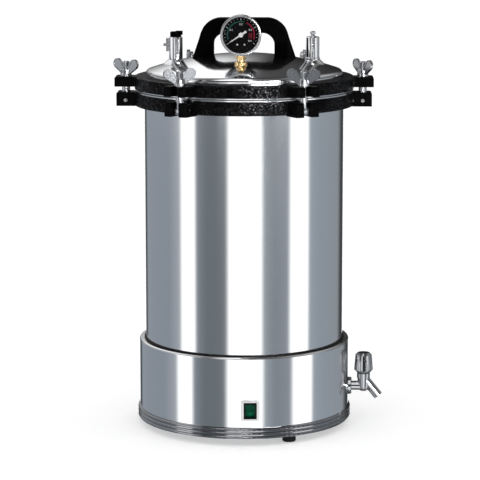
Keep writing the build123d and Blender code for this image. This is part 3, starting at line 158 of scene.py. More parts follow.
# Printed bands: inner and outer radius, first and last share of the scale, and ink
DIAL_BANDS = {
    "dial_green_arc": ((0.0178, 0.0192), (0.06, 0.56), (0.006, 0.11, 0.085)),
    "dial_red_arc": ((0.0178, 0.0192), (0.60, 0.94), (0.42, 0.010, 0.045)),
    "dial_red_block": ((0.0108, 0.0158), (0.81, 0.95), (0.13, 0.004, 0.015)),
}
BAND_SIDES = 120
# The dial's two screws: head, rim, dish, and place to the side of the hub, below it and behind
# the dial's face
SCREW_SIDES = 24
SCREW_RADIUS = 0.0011
SCREW_DEPTH = 0.0005
SCREW_RIM = 0.0003
SCREW_CROWN = 0.00012
SCREW_SIDE = 0.005
SCREW_DROP = 0.0133
SCREW_SINK = 0.0002

# The CAD handle's outline, as half widths and drops below its top, and the drops at which its
# shoulders are cut into rows
HANDLE_CORNERS = (
    (0.0367, 0.0), (0.0457, 0.0025), (0.0570, 0.0136), (0.0640, 0.0294), (0.0755, 0.0690),
)
HANDLE_CUTS = (
    0.0002, 0.0006, 0.0012, 0.0019, 0.0028, 0.0039, 0.0052, 0.0067, 0.0084, 0.0103, 0.0124,
    0.0147, 0.0172, 0.0200, 0.0230, 0.0262, 0.0300,
)
# How far in from the outline the handle's rounded edge reaches, the largest angle in degrees
# that is shaded smooth, and the distance under which two points are one
HANDLE_EDGE = 0.0046
HANDLE_CREASE = 30.0
SAME_POINT = 1e-6

# The swing bolts: their circle, and the first one's angle from the front and the next one's
BOLT_COUNT = 6
BOLT_CIRCLE = 0.1685
BOLT_FIRST = 30.0
BOLT_STEP = 60.0
# The thread starts above the foot of the wing nut and ends below the bolt's top. The ring
# that is inset on its end face has this share of the root's radius.
HUB_RISE = 0.0104
THREAD_END = 0.0010
THREAD_SIDES = 40
THREAD_INSET = 0.15
ON_AXIS = 1e-5


def length(label, about, default):
    """A property that holds a length, given in millimetres."""
    return FloatProperty(
        name=label, description=about, default=default * MM, unit="LENGTH", precision=5
    )


def angle(label, about, default):
    """A property that holds an angle, given in degrees."""
    return FloatProperty(
        name=label, description=about, default=math.radians(default), unit="ROTATION"
    )


def amount(label, about, default):
    """A property that holds a strength, which is never negative."""
    return FloatProperty(name=label, description=about, default=default, min=0.0)


def shift(label, about, default):
    """A property that holds a share of the picture's width."""
    return FloatProperty(name=label, description=about, default=default, precision=4)


def colour(label, about, default):
    return FloatVectorProperty(
        name=label, description=about, default=default, size=3, subtype="COLOR", min=0.0, max=1.0
    )


class AutoclaveView(bpy.types.PropertyGroup):
    """Where the camera stands and what lights the object."""

    distance: length("Distance", "From the camera to the object's axis", 3178.0)
    height: length("Height", "How far the camera stands above the floor", 807.4)
    azimuth: angle("Azimuth", "How far the camera stands to the right of the front", 1.4)
    pitch: angle("Pitch", "How far the camera looks down", 9.0)
    focal: FloatProperty(
        name="Focal length", description="Lens of the camera", default=167.88, unit="CAMERA"
    )
    shift_x: shift("Shift X", "Sideways shift of the picture", -0.0088)
    shift_y: shift("Shift Y", "Upwards shift of the picture", -0.0558)
    card_power: amount("Card power", "Glow of the white reflector cards", 1.7)
    sky_power: amount("Sky power", "Strength of the soft light from all round", 0.8)
    paper_white: amount("Paper white", "Brightness of the backdrop", 1.04)
    floor_glow: amount("Floor glow", "Light that the floor adds of its own", 0.42)


class AutoclaveSizes(bpy.types.PropertyGroup):
    """Sizes of the pieces that are modelled here."""

    dial_rim: length("Dial rim", "Radius at which the ticks of the dial end", 23.2)
    ink: length("Ink", "Thickness of the dial's print", 0.12)
    number_size: length("Number size", "Size of the numbers on the dial", 3.7)
    number_radius: length("Number radius", "Radius on which the numbers stand", 14.8)
    shoulder: length("Shoulder", "Radius of the handle's two shoulders", 31.0)
    thread_root: length("Thread root", "Radius of the bolt thread at its root", 5.02)
    thread_crest: length("Thread crest", "Radius of the bolt thread at its crest", 5.4)
    thread_pitch: length("Thread pitch", "Height of one turn of the bolt thread", 1.5)


class AutoclaveColours(bpy.types.PropertyGroup):
    """Base colours of the finishes."""

    steel: colour("Steel", "Polished stainless sheet", (0.74, 0.745, 0.76))
    inner_steel: colour("Inner steel", "Satin stainless sheet inside", (0.62, 0.625, 0.64))
    chrome: colour("Chrome", "Plated brass", (0.66, 0.67, 0.69))
    zinc: colour("Zinc", "Plated castings and bolts", (0.44, 0.45, 0.47))
    enamel: colour("Enamel", "Gloss black on the cast rings", (0.0016, 0.0016, 0.0018))
    handle: colour("Handle", "Moulded black handle", (0.0006, 0.0006, 0.0007))
    brass: colour("Brass", "Turned brass", (0.95, 0.68, 0.34))
    rubber: colour("Rubber", "Black rubber", (0.004, 0.004, 0.004))
    # Painted shade: the gasket is given a dark grey that stands for the shadow in the gap under
    # the lid's ring
    silicone: colour("Silicone", "Dark gasket", (0.10, 0.10, 0.095))
    dial: colour("Dial", "Printed gauge dial", (0.003, 0.003, 0.0035))
    rocker: colour("Rocker", "Green switch rocker", (0.0, 0.045, 0.022))


def view():
    return bpy.context.scene.autoclave_view


def measures():
    return bpy.context.scene.autoclave_sizes


def colours():
    return bpy.context.scene.autoclave_colours


# Shader nodes as expressions


def rgba(shade):
    """Four numbers from a colour, or from one shade of grey."""
    if not hasattr(shade, "__len__"):
        shade = (shade, shade, shade)
    return (*shade[:3], 1.0)


class Value:
    """One output of a shader node. Arithmetic on it adds Math nodes."""

    def __init__(self, shading, socket):
        self.shading, self.socket = shading, socket

    def math(self, operation, *others):
        return self.shading.node("ShaderNodeMath", {"operation": operation}, [self, *others])

    def after(self, operation, other):
        return self.shading.node("ShaderNodeMath", {"operation": operation}, [other, self])

    def __add__(self, other):
        return self.math("ADD", other)

    def __mul__(self, other):
        return self.math("MULTIPLY", other)

    def __truediv__(self, other):
        return self.math("DIVIDE", other)

    def __gt__(self, other):
        return self.math("GREATER_THAN", other)

    def __lt__(self, other):
        return self.math("LESS_THAN", other)

    def __rsub__(self, other):
        return self.after("SUBTRACT", other)

    __radd__ = __add__
    __rmul__ = __mul__


class Shading:
    """A node tree, and the ways in which nodes are added to it."""

    def __init__(self, tree):
        self.tree = tree

    def feed(self, socket, value):
        """Links a value to a socket, or sets a plain number, colour or vector on it."""
        if isinstance(value, Value):
            self.tree.links.new(value.socket, socket)
        else:
            socket.default_value = rgba(value) if socket.type == "RGBA" else value

    def node(self, kind, settings=None, inputs=(), output=0):
        """Adds a node: its settings first, then the values or links of its sockets."""
        made = self.tree.nodes.new(kind)
        for key, value in (settings or {}).items():
            if key == "stops":
                ramp = made.color_ramp
                while len(ramp.elements) < len(value):
                    ramp.elements.new(1.0)
                for element, (position, shade) in zip(ramp.elements, value):
                    element.position = position
                    element.color = rgba(shade)
            else:
                setattr(made, key, value)
        pairs = inputs.items() if isinstance(inputs, dict) else enumerate(inputs)
        for key, value in pairs:
            self.feed(made.inputs[key], value)
        return Value(self, made.outputs[output] if made.outputs else None)

    def coords(self, scale=(1, 1, 1), offset=(0, 0, 0)):
        """Object coordinates, moved and then stretched."""
        here = self.node("ShaderNodeTexCoord", output="Object")
        moved = self.node("ShaderNodeVectorMath", {"operation": "SUBTRACT"}, [here, offset])
        return self.node("ShaderNodeVectorMath", {"operation": "MULTIPLY"}, [moved, scale])

    def split(self, vector):
        """The three parts of a vector."""
        first = self.node("ShaderNodeSeparateXYZ", inputs=[vector])
        return [Value(self, socket) for socket in first.socket.node.outputs]

    def noise(self, vector, size, detail=2.0, rough=0.5, distort=0.0):
        """Cloudy noise from 0 to 1, with lumps about the given size in metres."""
        sockets = {
            "Vector": vector, "Scale": 1 / size, "Detail": detail, "Roughness": rough,
            "Distortion": distort,
        }
        return self.node("ShaderNodeTexNoise", inputs=sockets)

    def ramp(self, value, stops):
        return self.node("ShaderNodeValToRGB", {"stops": stops}, [value])

    def spread(self, value, low, high):
        """A 0 to 1 value stretched to run from low to high."""
        return value * (high - low) + low

    def step(self, value, low, high):
        """0 below one bound of a value, 1 above the other, and even between them."""
        return self.node("ShaderNodeMapRange", {"clamp": True}, [value, low, high])

    def mix(self, factor, first, second):
        """A colour between two others. Sockets 0, 6 and 7 are the factor and the colours."""
        return self.node(
            "ShaderNodeMix", {"data_type": "RGBA"}, {0: factor, 6: first, 7: second}, output=2
        )

    def bump(self, height, strength, depth):
        """A normal from a height map, depth in metres."""
        sockets = {"Strength": strength, "Distance": depth, "Height": height}
        return self.node("ShaderNodeBump", inputs=sockets)

    def radius(self):
        """The distance from the object's axis, in metres."""
        x, y, _z = self.split(self.coords())
        return (x * x + y * y).math("POWER", 0.5)


class Finish(Shading):
    """A material with one Principled shader and the nodes that feed it."""

    def __init__(self, name, **sockets):
        self.material = bpy.data.materials.new(name)
        self.material.use_nodes = True
        super().__init__(self.material.node_tree)
        self.tree.nodes.clear()
        surface = self.node("ShaderNodeBsdfPrincipled")
        self.node("ShaderNodeOutputMaterial", inputs={"Surface": surface})
        self.shader = surface.socket.node
        self.set(**sockets)

    def set(self, **sockets):
        """Sets or links the shader's sockets, base_color being Base Color."""
        for key, value in sockets.items():
            label = " ".join(word.capitalize() for word in key.split("_")).replace("Ior", "IOR")
            self.feed(self.shader.inputs[label], value)


# The finishes


def sheet_steel(name, base, roughness, brush, wear=0.05):
    """Polished sheet with a fine brushing round the axis and faint handling marks."""
    finish = Finish(name, metallic=1.0)
    lines = finish.noise(finish.coords(scale=(3.0, 3.0, 900.0)), size=1.0, detail=3.0, rough=0.6)
    cloud = finish.noise(finish.coords(), size=0.09, detail=3.0)
    stretched = finish.coords(scale=(1.0, 1.0, 0.35))
    smears = finish.noise(stretched, size=0.03, detail=4.0, rough=0.65)
    marks = lines * 0.5 + smears * 0.5
    finish.set(
        base_color=finish.mix(finish.spread(cloud, 0.965, 1.0), BLACK, base),
        roughness=finish.spread(marks, roughness - wear / 2, roughness + wear),
        normal=finish.bump(lines, strength=brush, depth=0.00004),
    )
    return finish.material


def plated(name, base, roughness, ripple=0.15, grain=0.0012):
    """Plating over a casting: small ripples and a slightly uneven gloss."""
    finish = Finish(name, metallic=1.0)
    bumps = finish.noise(finish.coords(), size=grain, detail=3.0, rough=0.55)
    cloud = finish.noise(finish.coords(), size=0.012, detail=3.0)
    marks = bumps * 0.4 + cloud * 0.6
    finish.set(
        base_color=finish.mix(finish.spread(cloud, 0.90, 1.0), BLACK, base),
        roughness=finish.spread(marks, roughness * 0.6, roughness * 1.5),
        normal=finish.bump(bumps, strength=ripple, depth=0.0001),
    )
    return finish.material


def turned_metal(name, base, tarnish, roughness):
    """Turned metal, with fine tool lines at equal heights."""
    finish = Finish(name, metallic=1.0)
    lines = finish.noise(finish.coords(scale=(1.0, 1.0, 60.0)), size=0.02)
    stains = finish.noise(finish.coords(), size=0.006, detail=3.0)
    finish.set(
        base_color=finish.mix(finish.spread(stains, 0.8, 1.0), tarnish, base),
        roughness=finish.spread(lines, roughness * 0.6, roughness * 1.6),
        normal=finish.bump(lines, strength=0.25, depth=0.00005),
    )
    return finish.material


def moulded(name, base, roughness, specular=0.5):
    """Moulded plastic or rubber with a fine grain and faint dust."""
    finish = Finish(name, specular_ior_level=specular)
    grain = finish.noise(finish.coords(), size=0.0009)
    dust = finish.noise(finish.coords(), size=0.02, detail=3.0)
    dusty = [min(1.0, c * 1.6 + 0.0006) for c in base]
    finish.set(
        base_color=finish.mix(dust, base, dusty),
        roughness=finish.spread(dust * 0.5 + grain * 0.5, roughness * 0.8, roughness * 1.25),
        normal=finish.bump(grain, strength=0.3, depth=0.00003),
    )
    return finish.material


def cast_enamel(name, base):
    """Black enamel that has run over a sand casting. The rings' rims are lumpy and their
    crests shine, and the faces of the lugs are smoother."""
    finish = Finish(name, specular_ior_level=0.015)
    flattened = finish.coords(scale=(1.0, 1.0, 1.3))
    lumps = finish.noise(flattened, size=0.0027, rough=0.6, distort=0.5)
    sand = finish.noise(finish.coords(), size=0.0016, rough=0.6)
    cloud = finish.noise(finish.coords(), size=0.05)
    radius = finish.radius()
    rim = (radius < RIM_BAND[1]) * (radius > RIM_BAND[0])
    gloss = finish.step(lumps, 0.50, 0.60) * finish.step(cloud, 0.32, 0.5) * rim
    height = (lumps * 0.75 + sand * 0.25) * finish.spread(rim, 0.10, 1.0)
    paint = finish.mix(lumps, base, [c * 2.0 + 0.0006 for c in base])
    finish.set(
        base_color=finish.mix(gloss, paint, CREST_SHINE),
        metallic=gloss,
        roughness=finish.spread(sand, 0.25, 0.45) * (1 - gloss) + gloss * CREST_ROUGHNESS,
        normal=finish.bump(height, strength=1.0, depth=0.0008),
    )
    return finish.material


def clear(name, tint, alpha, roughness=0.02):
    """Clear glass or plastic with faint smears."""
    finish = Finish(name, alpha=alpha, ior=1.48)
    smear = finish.noise(finish.coords(), size=0.01, detail=3.0)
    finish.set(
        base_color=finish.mix(smear, tint, [c * 0.96 for c in tint]),
        roughness=finish.spread(smear, roughness * 0.5, roughness * 2.0),
    )
    return finish.material


def rocker_painted_glow(name, base):
    """Clear green plastic that glows faintly all over and most round a spot low on it: a painted
    glow that stands for the highlight on the rocker's lower half.
    """
    finish = Finish(name, specular_ior_level=0.06, emission_strength=0.9)
    low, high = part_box("switch_rocker")
    glow_spot = [(a + b) / 2 for a, b in zip(low, high)]
    glow_spot[2] = low[2] + (high[2] - low[2]) * GLOW_SPOT_SHARE
    cloud = finish.noise(finish.coords(), size=0.004)
    away = finish.node(
        "ShaderNodeVectorMath", {"operation": "LENGTH"}, [finish.coords(offset=glow_spot)], "Value"
    )
    # Painted highlight: emission brightest round a spot on the rocker's lower half
    glow = 1 - finish.step(away, 0.0, GLOW_SPOT_REACH)
    finish.set(
        base_color=finish.mix(cloud, base, [c * 1.3 for c in base]),
        roughness=finish.spread(cloud, 0.2, 0.35),
        emission_color=finish.mix(glow * glow, (0.0, 0.006, 0.003), (0.0, 0.12, 0.045)),
    )
    return finish.material


def printed(name, ink):
    """Printed ink, a little uneven."""
    finish = Finish(name, specular_ior_level=0.2)
    cloud = finish.noise(finish.coords(), size=0.0015)
    finish.set(
        base_color=finish.mix(cloud, ink, [c * 0.75 for c in ink]),
        roughness=finish.spread(cloud, 0.45, 0.65),
    )
    return finish.material


def floor_paint(glow):
    """Matt white, with a little light of its own."""
    finish = Finish(
        "floor_paint", roughness=0.7, specular_ior_level=0.0,
        emission_color=WHITE, emission_strength=glow,
    )
    finish.set(base_color=finish.mix(finish.noise(finish.coords(), size=0.3), *FLOOR_PAINT))
    return finish.material


def slot_finishes():
    """Every material by its slot in the record."""
    c = colours()
    return {
        "polished_steel": sheet_steel("polished_steel", c.steel, 0.11, brush=0.12, wear=0.03),
        "inner_steel": sheet_steel("inner_steel", c.inner_steel, 0.28, brush=0.3),
        "chrome_plate": plated("chrome_plate", c.chrome, 0.07, ripple=0.05, grain=0.004),
        "zinc_steel": plated("zinc_steel", c.zinc, 0.24, ripple=0.12, grain=0.0025),
        "black_casting": cast_enamel("black_casting", c.enamel),
        "bakelite": moulded("bakelite", c.handle, 0.45, specular=0.012),
        "black_rubber": moulded("black_rubber", c.rubber, 0.6, specular=0.15),
        # The gasket's dark grey is painted shade, for the shadow under the lid's ring
        "silicone": moulded("silicone", c.silicone, 0.5),
        "brass": turned_metal("brass", c.brass, (0.10, 0.05, 0.01), 0.15),
        "clear_glass": clear("clear_glass", (0.02, 0.022, 0.022), 0.04),
        "clear_plastic": clear("clear_plastic", (0.92, 0.93, 0.94), 0.85, roughness=0.15),
        "dial_face": moulded("dial_face", c.dial, 0.6, specular=0.04),
        "pointer_white": moulded("pointer_white", (0.85, 0.85, 0.83), 0.4),
        "switch_black": moulded("switch_black", (0.002, 0.002, 0.002), 0.35, specular=0.08),
        "rocker_green": rocker_painted_glow("rocker_green", c.rocker),
        "heater_sheath": plated("heater_sheath", (0.32, 0.31, 0.30), 0.4),
        "black_nylon": moulded("black_nylon", (0.012, 0.012, 0.012), 0.45),
        "plate_aluminium": plated("plate_aluminium", (0.68, 0.69, 0.70), 0.35),
    }


# Finishes by slot, filled in by the finishes operator
made_finishes = {}


def wear_finish(piece, material):
    piece.data.materials.clear()
    piece.data.materials.append(material)


def dress(piece, slot, body, finish=None):
    """Gives a piece its finish, from its slot where none is given, and the body that it rides on.
    """
    wear_finish(piece, finish or made_finishes[slot])
    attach(piece, body)


# Modelling helpers


def activate(piece):
    """Makes a piece the only one that is selected, and the active one."""
    bpy.ops.object.select_all(action="DESELECT")
    piece.select_set(True)
    bpy.context.view_layer.objects.active = piece


def open_mesh(name):
    """Names the active object and opens its mesh in edit mode, with nothing selected."""
    piece = bpy.context.object
    piece.name = piece.data.name = name
    bpy.ops.object.mode_set(mode="EDIT")
    bpy.ops.mesh.select_all(action="DESELECT")
    return piece


def close_mesh():
    bpy.ops.object.mode_set(mode="OBJECT")


def pick(piece, kind, test):
    """Selects the faces or the vertices whose centre passes a test."""
    bpy.ops.mesh.select_mode(type=kind)
    bpy.ops.mesh.select_all(action="DESELECT")
    mesh = bmesh.from_edit_mesh(piece.data)
    if kind == "FACE":
        for face in mesh.faces:
            face.select_set(bool(test(face.calc_center_median())))
    else:
        for vert in mesh.verts:
            vert.select_set(bool(test(vert.co)))
    mesh.select_flush_mode()
    bmesh.update_edit_mesh(piece.data)


def place(piece, location=(0, 0, 0), turn=(0, 0, 0)):
    """Puts a piece in its place, turned about its own origin, and writes that into its mesh."""
    activate(piece)
    piece.rotation_euler = turn
    piece.location = location
    bpy.ops.object.transform_apply(location=True, rotation=True, scale=True)
    return piece


def copied(piece, name):
    """A copy of a piece with a mesh of its own."""
    twin = piece.copy()
    twin.data = piece.data.copy()
    twin.name = twin.data.name = name
    bpy.context.collection.objects.link(twin)
    return twin


def joined(pieces, name):
    """Several pieces as one, under a new name."""
    activate(pieces[0])
    for piece in pieces:
        piece.select_set(True)
    bpy.ops.object.join()
    pieces[0].name = pieces[0].data.name = name
    return pieces[0]


# The steps


def round_stops(bands):
    """Colour stops round the object, from azimuths in degrees."""
    return [(0.5 + azimuth / FULL_TURN, shade) for azimuth, shade in bands]


class AUTOCLAVE_OT_stage(bpy.types.Operator):
    """Adds the floor, the ring of reflector cards, the light and the camera"""

    bl_idname = "autoclave.stage"
    bl_label = "Stage and camera"

    def execute(self, context):
        v = view()
        self.camera(v)
        self.floor(v)
        self.sky(v)
        return {"FINISHED"}

    def camera(self, v):
        where = (v.distance * math.sin(v.azimuth), -v.distance * math.cos(v.azimuth), v.height)
        bpy.ops.object.camera_add(
            location=where, rotation=(math.pi / 2 - v.pitch, 0, v.azimuth)
        )
        camera = bpy.context.object
        camera.data.lens = v.focal
        camera.data.sensor_width = SENSOR_WIDTH
        camera.data.shift_x, camera.data.shift_y = v.shift_x, v.shift_y
        camera.data.clip_end = VIEW_END
        bpy.context.scene.camera = camera
        bpy.context.scene.view_settings.view_transform = "Standard"

    def floor(self, v):
        bpy.ops.mesh.primitive_circle_add(
            vertices=FLOOR_SIDES, radius=FLOOR_RADIUS, fill_type="NGON"
        )
        floor = bpy.context.object
        floor.name = "studio_floor"
        wear_finish(floor, floor_paint(v.floor_glow))
        floor.visible_glossy = False

    def sky(self, v):
        """Soft white light, and the cards that only reflections see."""
        world = bpy.data.worlds.new("studio_sky")
        bpy.context.scene.world = world
        world.use_nodes = True
        sky = Shading(world.node_tree)
        background = sky.tree.nodes["Background"]
        x, y, z = sky.split(sky.node("ShaderNodeTexCoord", output="Generated"))
        turn = x.math("ARCTAN2", y * -1.0) / (2 * math.pi) + 0.5
        low, high, front, overhead = [
            sky.ramp(turn, round_stops(bands))
            for bands in (LOW_CARDS, HIGH_CARDS, FRONT_LOW, FRONT_HIGH)
        ]
        behind = sky.ramp(x * 0.5 + 0.5, [(0.5 + side / 2, shade) for side, shade in BACK_CEILING])
        rise = sky.ramp(z, BACK_RISE)
        behind = sky.node("ShaderNodeVectorMath", {"operation": "MULTIPLY"}, [behind, rise])
        front = sky.mix(sky.step(z, *FRONT_BREAK), front, overhead)
        ceiling = sky.mix(sky.step(y, *BACK_START), front, behind)
        cards = sky.mix(sky.step(z, *UNDER_TOP), UNDER_SHADE, low)
        cards = sky.mix(sky.step(z, *CARD_TOP), cards, high)
        cards = sky.mix(sky.step(z, *CEILING_LOW), cards, ceiling)
        left, right = (0.5 + azimuth / FULL_TURN for azimuth in LAMP_SIDES)
        foot, top = LAMP_HEIGHTS
        inside = (turn > left) * (turn < right) * (z > foot) * (z < top)
        cards = sky.mix(inside, cards, LAMP_GLOW)
        glossy = sky.node("ShaderNodeLightPath", output="Is Glossy Ray")
        camera = sky.node("ShaderNodeLightPath", output="Is Camera Ray")
        sky.feed(background.inputs["Color"], sky.mix(glossy, WHITE, cards))
        soft = camera * (v.paper_white - v.sky_power) + v.sky_power
        sky.feed(background.inputs["Strength"], soft * (1 - glossy) + glossy * v.card_power)


class AUTOCLAVE_OT_finishes(bpy.types.Operator):
    """Gives every CAD piece the finish of its slot, or a darker plating of its own where it has
    one, which on the chrome pieces and the tap is painted shade
    """

    bl_idname = "autoclave.finishes"
    bl_label = "Finishes of the CAD pieces"

    def execute(self, context):
        made_finishes.update(slot_finishes())
        # Darker platings; on the chrome pieces and the tap they are painted shade
        own = {node: plated(*values) for node, values in DARKER_PLATING.items()}
        own.update(dict.fromkeys(TAP_NODES, plated(*TAP_DARKER_PLATING)))
        for part in frame["record"]["subparts"]:
            node = part["node"]
            finish = own.get(node) or made_finishes[part["material_slot"]]
            wear_finish(frame["nodes"][node], finish)
        return {"FINISHED"}


def dial_place():
    """The centre of the dial's front face."""
    low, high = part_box("gauge_dial")
    return Vector(((low[0] + high[0]) / 2, low[1], (low[2] + high[2]) / 2))


def dial_turn(share):
    """The angle, from +X towards +Z, at which a share of the scale stands."""
    return math.radians(DIAL_ZERO - DIAL_SWEEP * share)


class AUTOCLAVE_OT_dial(bpy.types.Operator):
    """Prints the scale on the gauge's dial: ticks, numbers, coloured bands and two screws"""

    bl_idname = "autoclave.dial"
    bl_label = "Gauge dial"

    def execute(self, context):
        centre = dial_place()
        m = measures()
        self.ticks(centre, m)
        self.numbers(centre, m)
        for name, (reach, span, ink) in DIAL_BANDS.items():
            self.band(centre, m, name, reach, span, ink)
        self.screws(centre)
        return {"FINISHED"}

    def ticks(self, centre, m):
        made = []
        for long in (False, True):
            reach, wide = TICK_SIZES[long]
            bpy.ops.object.select_all(action="DESELECT")
            bpy.ops.mesh.primitive_cube_add(size=1.0, scale=(reach, m.ink, wide))
            tick = open_mesh("tick")
            bpy.ops.mesh.select_all(action="SELECT")
            bpy.ops.transform.translate(value=(m.dial_rim - reach / 2, 0, 0))
            pick(tick, "FACE", lambda c: c.y < 0)
            bpy.ops.mesh.inset(thickness=wide * TICK_EDGE)
            close_mesh()
            for k in range(DIAL_STEPS + 1):
                if (k % DIAL_MINOR == 0) == long:
                    twin = copied(tick, "tick_copy")
                    made.append(place(twin, centre, (0, -dial_turn(k / DIAL_STEPS), 0)))
            bpy.data.objects.remove(tick)
        dress(joined(made, "dial_ticks"), "pointer_white", "lid")

    def numbers(self, centre, m):
        made = []
        for k, label in enumerate(DIAL_NUMBERS):
            turn = dial_turn(k / (len(DIAL_NUMBERS) - 1))
            bpy.ops.object.text_add()
            text = bpy.context.object
            text.data.body = label
            text.data.size, text.data.extrude = m.number_size, m.ink
            text.data.align_x, text.data.align_y = "CENTER", "CENTER"
            text.data.resolution_u = NUMBER_CURVE
            bpy.ops.object.convert(target="MESH")
            number = bpy.context.object
            spot = centre + Vector((math.cos(turn), 0, math.sin(turn))) * m.number_radius
            made.append(place(number, spot, (math.pi / 2, 0, 0)))
        dress(joined(made, "dial_numbers"), "pointer_white", "lid")

    def band(self, centre, m, name, reach, span, ink):
        """A thin printed band between two radii, from one share of the scale to another."""
        inner, outer = reach
        bpy.ops.mesh.primitive_circle_add(vertices=BAND_SIDES, radius=outer, fill_type="NOTHING")
        place(bpy.context.object, turn=(math.pi / 2, 0, 0))
        band = open_mesh(name)
        bpy.ops.mesh.select_all(action="SELECT")
        bpy.ops.mesh.extrude_edges_move()
        bpy.ops.transform.resize(value=(inner / outer,) * 3, center_override=(0, 0, 0))
        high, low = (math.degrees(dial_turn(share)) for share in span)

        def outside(c):
            turned = math.degrees(math.atan2(c.z, c.x))
            turned += FULL_TURN if turned < -90 else 0
            return not low < turned < high

        pick(band, "FACE", outside)
        bpy.ops.mesh.delete(type="FACE")
        bpy.ops.mesh.select_all(action="SELECT")
        bpy.ops.mesh.extrude_region_move(TRANSFORM_OT_translate={"value": (0, -m.ink, 0)})
        bpy.ops.mesh.select_all(action="SELECT")
        bpy.ops.mesh.normals_make_consistent(inside=False)
        close_mesh()
        place(band, centre)
        dress(band, "dial_face", "lid", printed(name + "_ink", ink))

    def screws(self, centre):
        made = []
        for side in (-1, 1):
            bpy.ops.mesh.primitive_cylinder_add(
                vertices=SCREW_SIDES, radius=SCREW_RADIUS, depth=SCREW_DEPTH
            )
            place(bpy.context.object, turn=(math.pi / 2, 0, 0))
            screw = open_mesh("dial_screw")
            pick(screw, "FACE", lambda c: c.y < -SCREW_DEPTH / 4)
            bpy.ops.mesh.inset(thickness=SCREW_RIM)
            bpy.ops.transform.translate(value=(0, -SCREW_CROWN, 0))
            close_mesh()
            spot = centre + Vector((side * SCREW_SIDE, -SCREW_SINK, -SCREW_DROP))
            made.append(place(screw, spot))
        dress(joined(made, "dial_screws"), "pointer_white", "lid")


class AUTOCLAVE_OT_handle(bpy.types.Operator):
    """Rounds the shoulders of the arched handle"""

    bl_idname = "autoclave.handle"
    bl_label = "Handle"

    def execute(self, context):
        shoulder = measures().shoulder
        arch = copied(frame["nodes"]["handle"], "handle_arch")
        activate(arch)
        open_mesh("handle_arch")
        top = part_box("handle")[1][2]
        bpy.ops.mesh.select_all(action="SELECT")
        bpy.ops.mesh.remove_doubles(threshold=SAME_POINT)
        for drop in HANDLE_CUTS:
            bpy.ops.mesh.select_all(action="SELECT")
            bpy.ops.mesh.bisect(plane_co=(0, 0, top - drop), plane_no=(0, 0, 1))
        mesh = bmesh.from_edit_mesh(arch.data)
        foot = top - HANDLE_CORNERS[-2][1]
        levels = {round(vert.co.z, 6) for vert in mesh.verts if vert.co.z > foot}
        for z in sorted(levels):
            drop = max(0.0, top - z)
            now, wanted = corner_width(drop), round_width(drop, shoulder)
            edge = now - HANDLE_EDGE
            pick(arch, "VERT", lambda c: abs(c.z - z) < SAME_POINT and abs(c.x) > edge)
            bpy.ops.transform.resize(value=(wanted / now, 1, 1), center_override=(0, 0, z))
        close_mesh()
        bpy.ops.object.shade_smooth_by_angle(angle=math.radians(HANDLE_CREASE))
        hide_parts("handle")
        dress(arch, "bakelite", "lid")
        return {"FINISHED"}


def corner_width(drop):
    """Half the width of the CAD handle, whose shoulder has corners, at a drop below its top."""
    for (x0, z0), (x1, z1) in zip(HANDLE_CORNERS, HANDLE_CORNERS[1:]):
        if drop <= z1:
            return x0 + (x1 - x0) * (drop - z0) / (z1 - z0)
    return HANDLE_CORNERS[-1][0]


def round_width(drop, shoulder):
    """The same for a shoulder that is an arc, down to where it meets the straight side."""
    (x0, z0), (x1, z1) = HANDLE_CORNERS[-2:]
    lean = math.atan2(x1 - x0, z1 - z0)
    end = shoulder * (1 - math.sin(lean))
    side_x = x0 + math.tan(lean) * (end - z0)
    middle = side_x - shoulder * math.cos(lean)
    if drop < end:
        return middle + math.sqrt(shoulder ** 2 - (shoulder - drop) ** 2)
    return x0 + math.tan(lean) * (drop - z0)


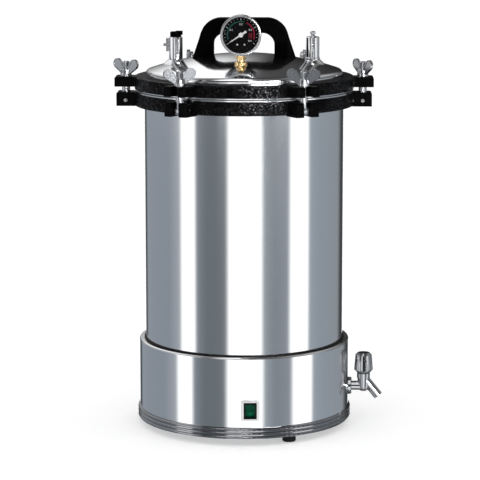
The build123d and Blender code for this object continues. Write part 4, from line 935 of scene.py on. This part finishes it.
class AUTOCLAVE_OT_threads(bpy.types.Operator):
    """Cuts the thread on the free end of each swing bolt"""

    bl_idname = "autoclave.threads"
    bl_label = "Bolt threads"

    def execute(self, context):
        m = measures()
        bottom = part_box("wing_nut_1")[0][2] + HUB_RISE
        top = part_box("swing_bolt_1")[1][2] - THREAD_END
        half = m.thread_pitch / 2
        turns = int((top - bottom) / m.thread_pitch)
        tall = turns * m.thread_pitch
        bpy.ops.object.select_all(action="DESELECT")
        bpy.ops.mesh.primitive_cylinder_add(
            vertices=THREAD_SIDES, radius=m.thread_root, depth=tall
        )
        thread = open_mesh("thread")
        bpy.ops.mesh.select_all(action="SELECT")
        bpy.ops.transform.translate(value=(0, 0, tall / 2))
        for k in range(1, 2 * turns):
            bpy.ops.mesh.select_all(action="SELECT")
            bpy.ops.mesh.bisect(plane_co=(0, 0, k * half), plane_no=(0, 0, 1))
        pick(thread, "VERT", lambda c: round(c.z / half) % 2 == 1)
        grow = m.thread_crest / m.thread_root
        bpy.ops.transform.resize(value=(grow, grow, 1), center_override=(0, 0, 0))
        pick(thread, "FACE", lambda c: abs(c.x) + abs(c.y) < ON_AXIS and c.z > tall / 2)
        bpy.ops.mesh.inset(thickness=m.thread_root * THREAD_INSET)
        close_mesh()
        for k in range(BOLT_COUNT):
            away = math.radians(BOLT_FIRST + BOLT_STEP * k)
            spot = (BOLT_CIRCLE * math.sin(away), -BOLT_CIRCLE * math.cos(away), bottom)
            twin = place(copied(thread, f"bolt_thread_{k + 1}"), spot, (0, 0, away))
            dress(twin, "zinc_steel", f"bolt_body_{k + 1}")
        bpy.data.objects.remove(thread)
        return {"FINISHED"}


class AUTOCLAVE_PT_panel(bpy.types.Panel):
    """Lists the steps in the 3D view's sidebar"""

    bl_label = "Portable autoclave"
    bl_idname = "AUTOCLAVE_PT_panel"
    bl_space_type = "VIEW_3D"
    bl_region_type = "UI"
    bl_category = "Autoclave"

    def draw(self, context):
        for group in (view(), measures(), colours()):
            box = self.layout.box()
            for name in group.bl_rna.properties.keys():
                if name not in ("rna_type", "name"):
                    box.prop(group, name)
        for step in STEPS:
            self.layout.operator(step.bl_idname)


STEPS = (
    AUTOCLAVE_OT_stage,
    AUTOCLAVE_OT_finishes,
    AUTOCLAVE_OT_dial,
    AUTOCLAVE_OT_handle,
    AUTOCLAVE_OT_threads,
)
CLASSES = (AutoclaveView, AutoclaveSizes, AutoclaveColours, *STEPS, AUTOCLAVE_PT_panel)


def register():
    for cls in CLASSES:
        bpy.utils.register_class(cls)
    bpy.types.Scene.autoclave_view = PointerProperty(type=AutoclaveView)
    bpy.types.Scene.autoclave_sizes = PointerProperty(type=AutoclaveSizes)
    bpy.types.Scene.autoclave_colours = PointerProperty(type=AutoclaveColours)


def unregister():
    del bpy.types.Scene.autoclave_colours
    del bpy.types.Scene.autoclave_sizes
    del bpy.types.Scene.autoclave_view
    for cls in reversed(CLASSES):
        bpy.utils.unregister_class(cls)


def main():
    register()
    bpy.ops.object.select_all(action="DESELECT")
    bpy.ops.autoclave.stage()
    bpy.ops.autoclave.finishes()
    bpy.ops.autoclave.dial()
    bpy.ops.autoclave.handle()
    bpy.ops.autoclave.threads()


if __name__ == "__main__":
    main()
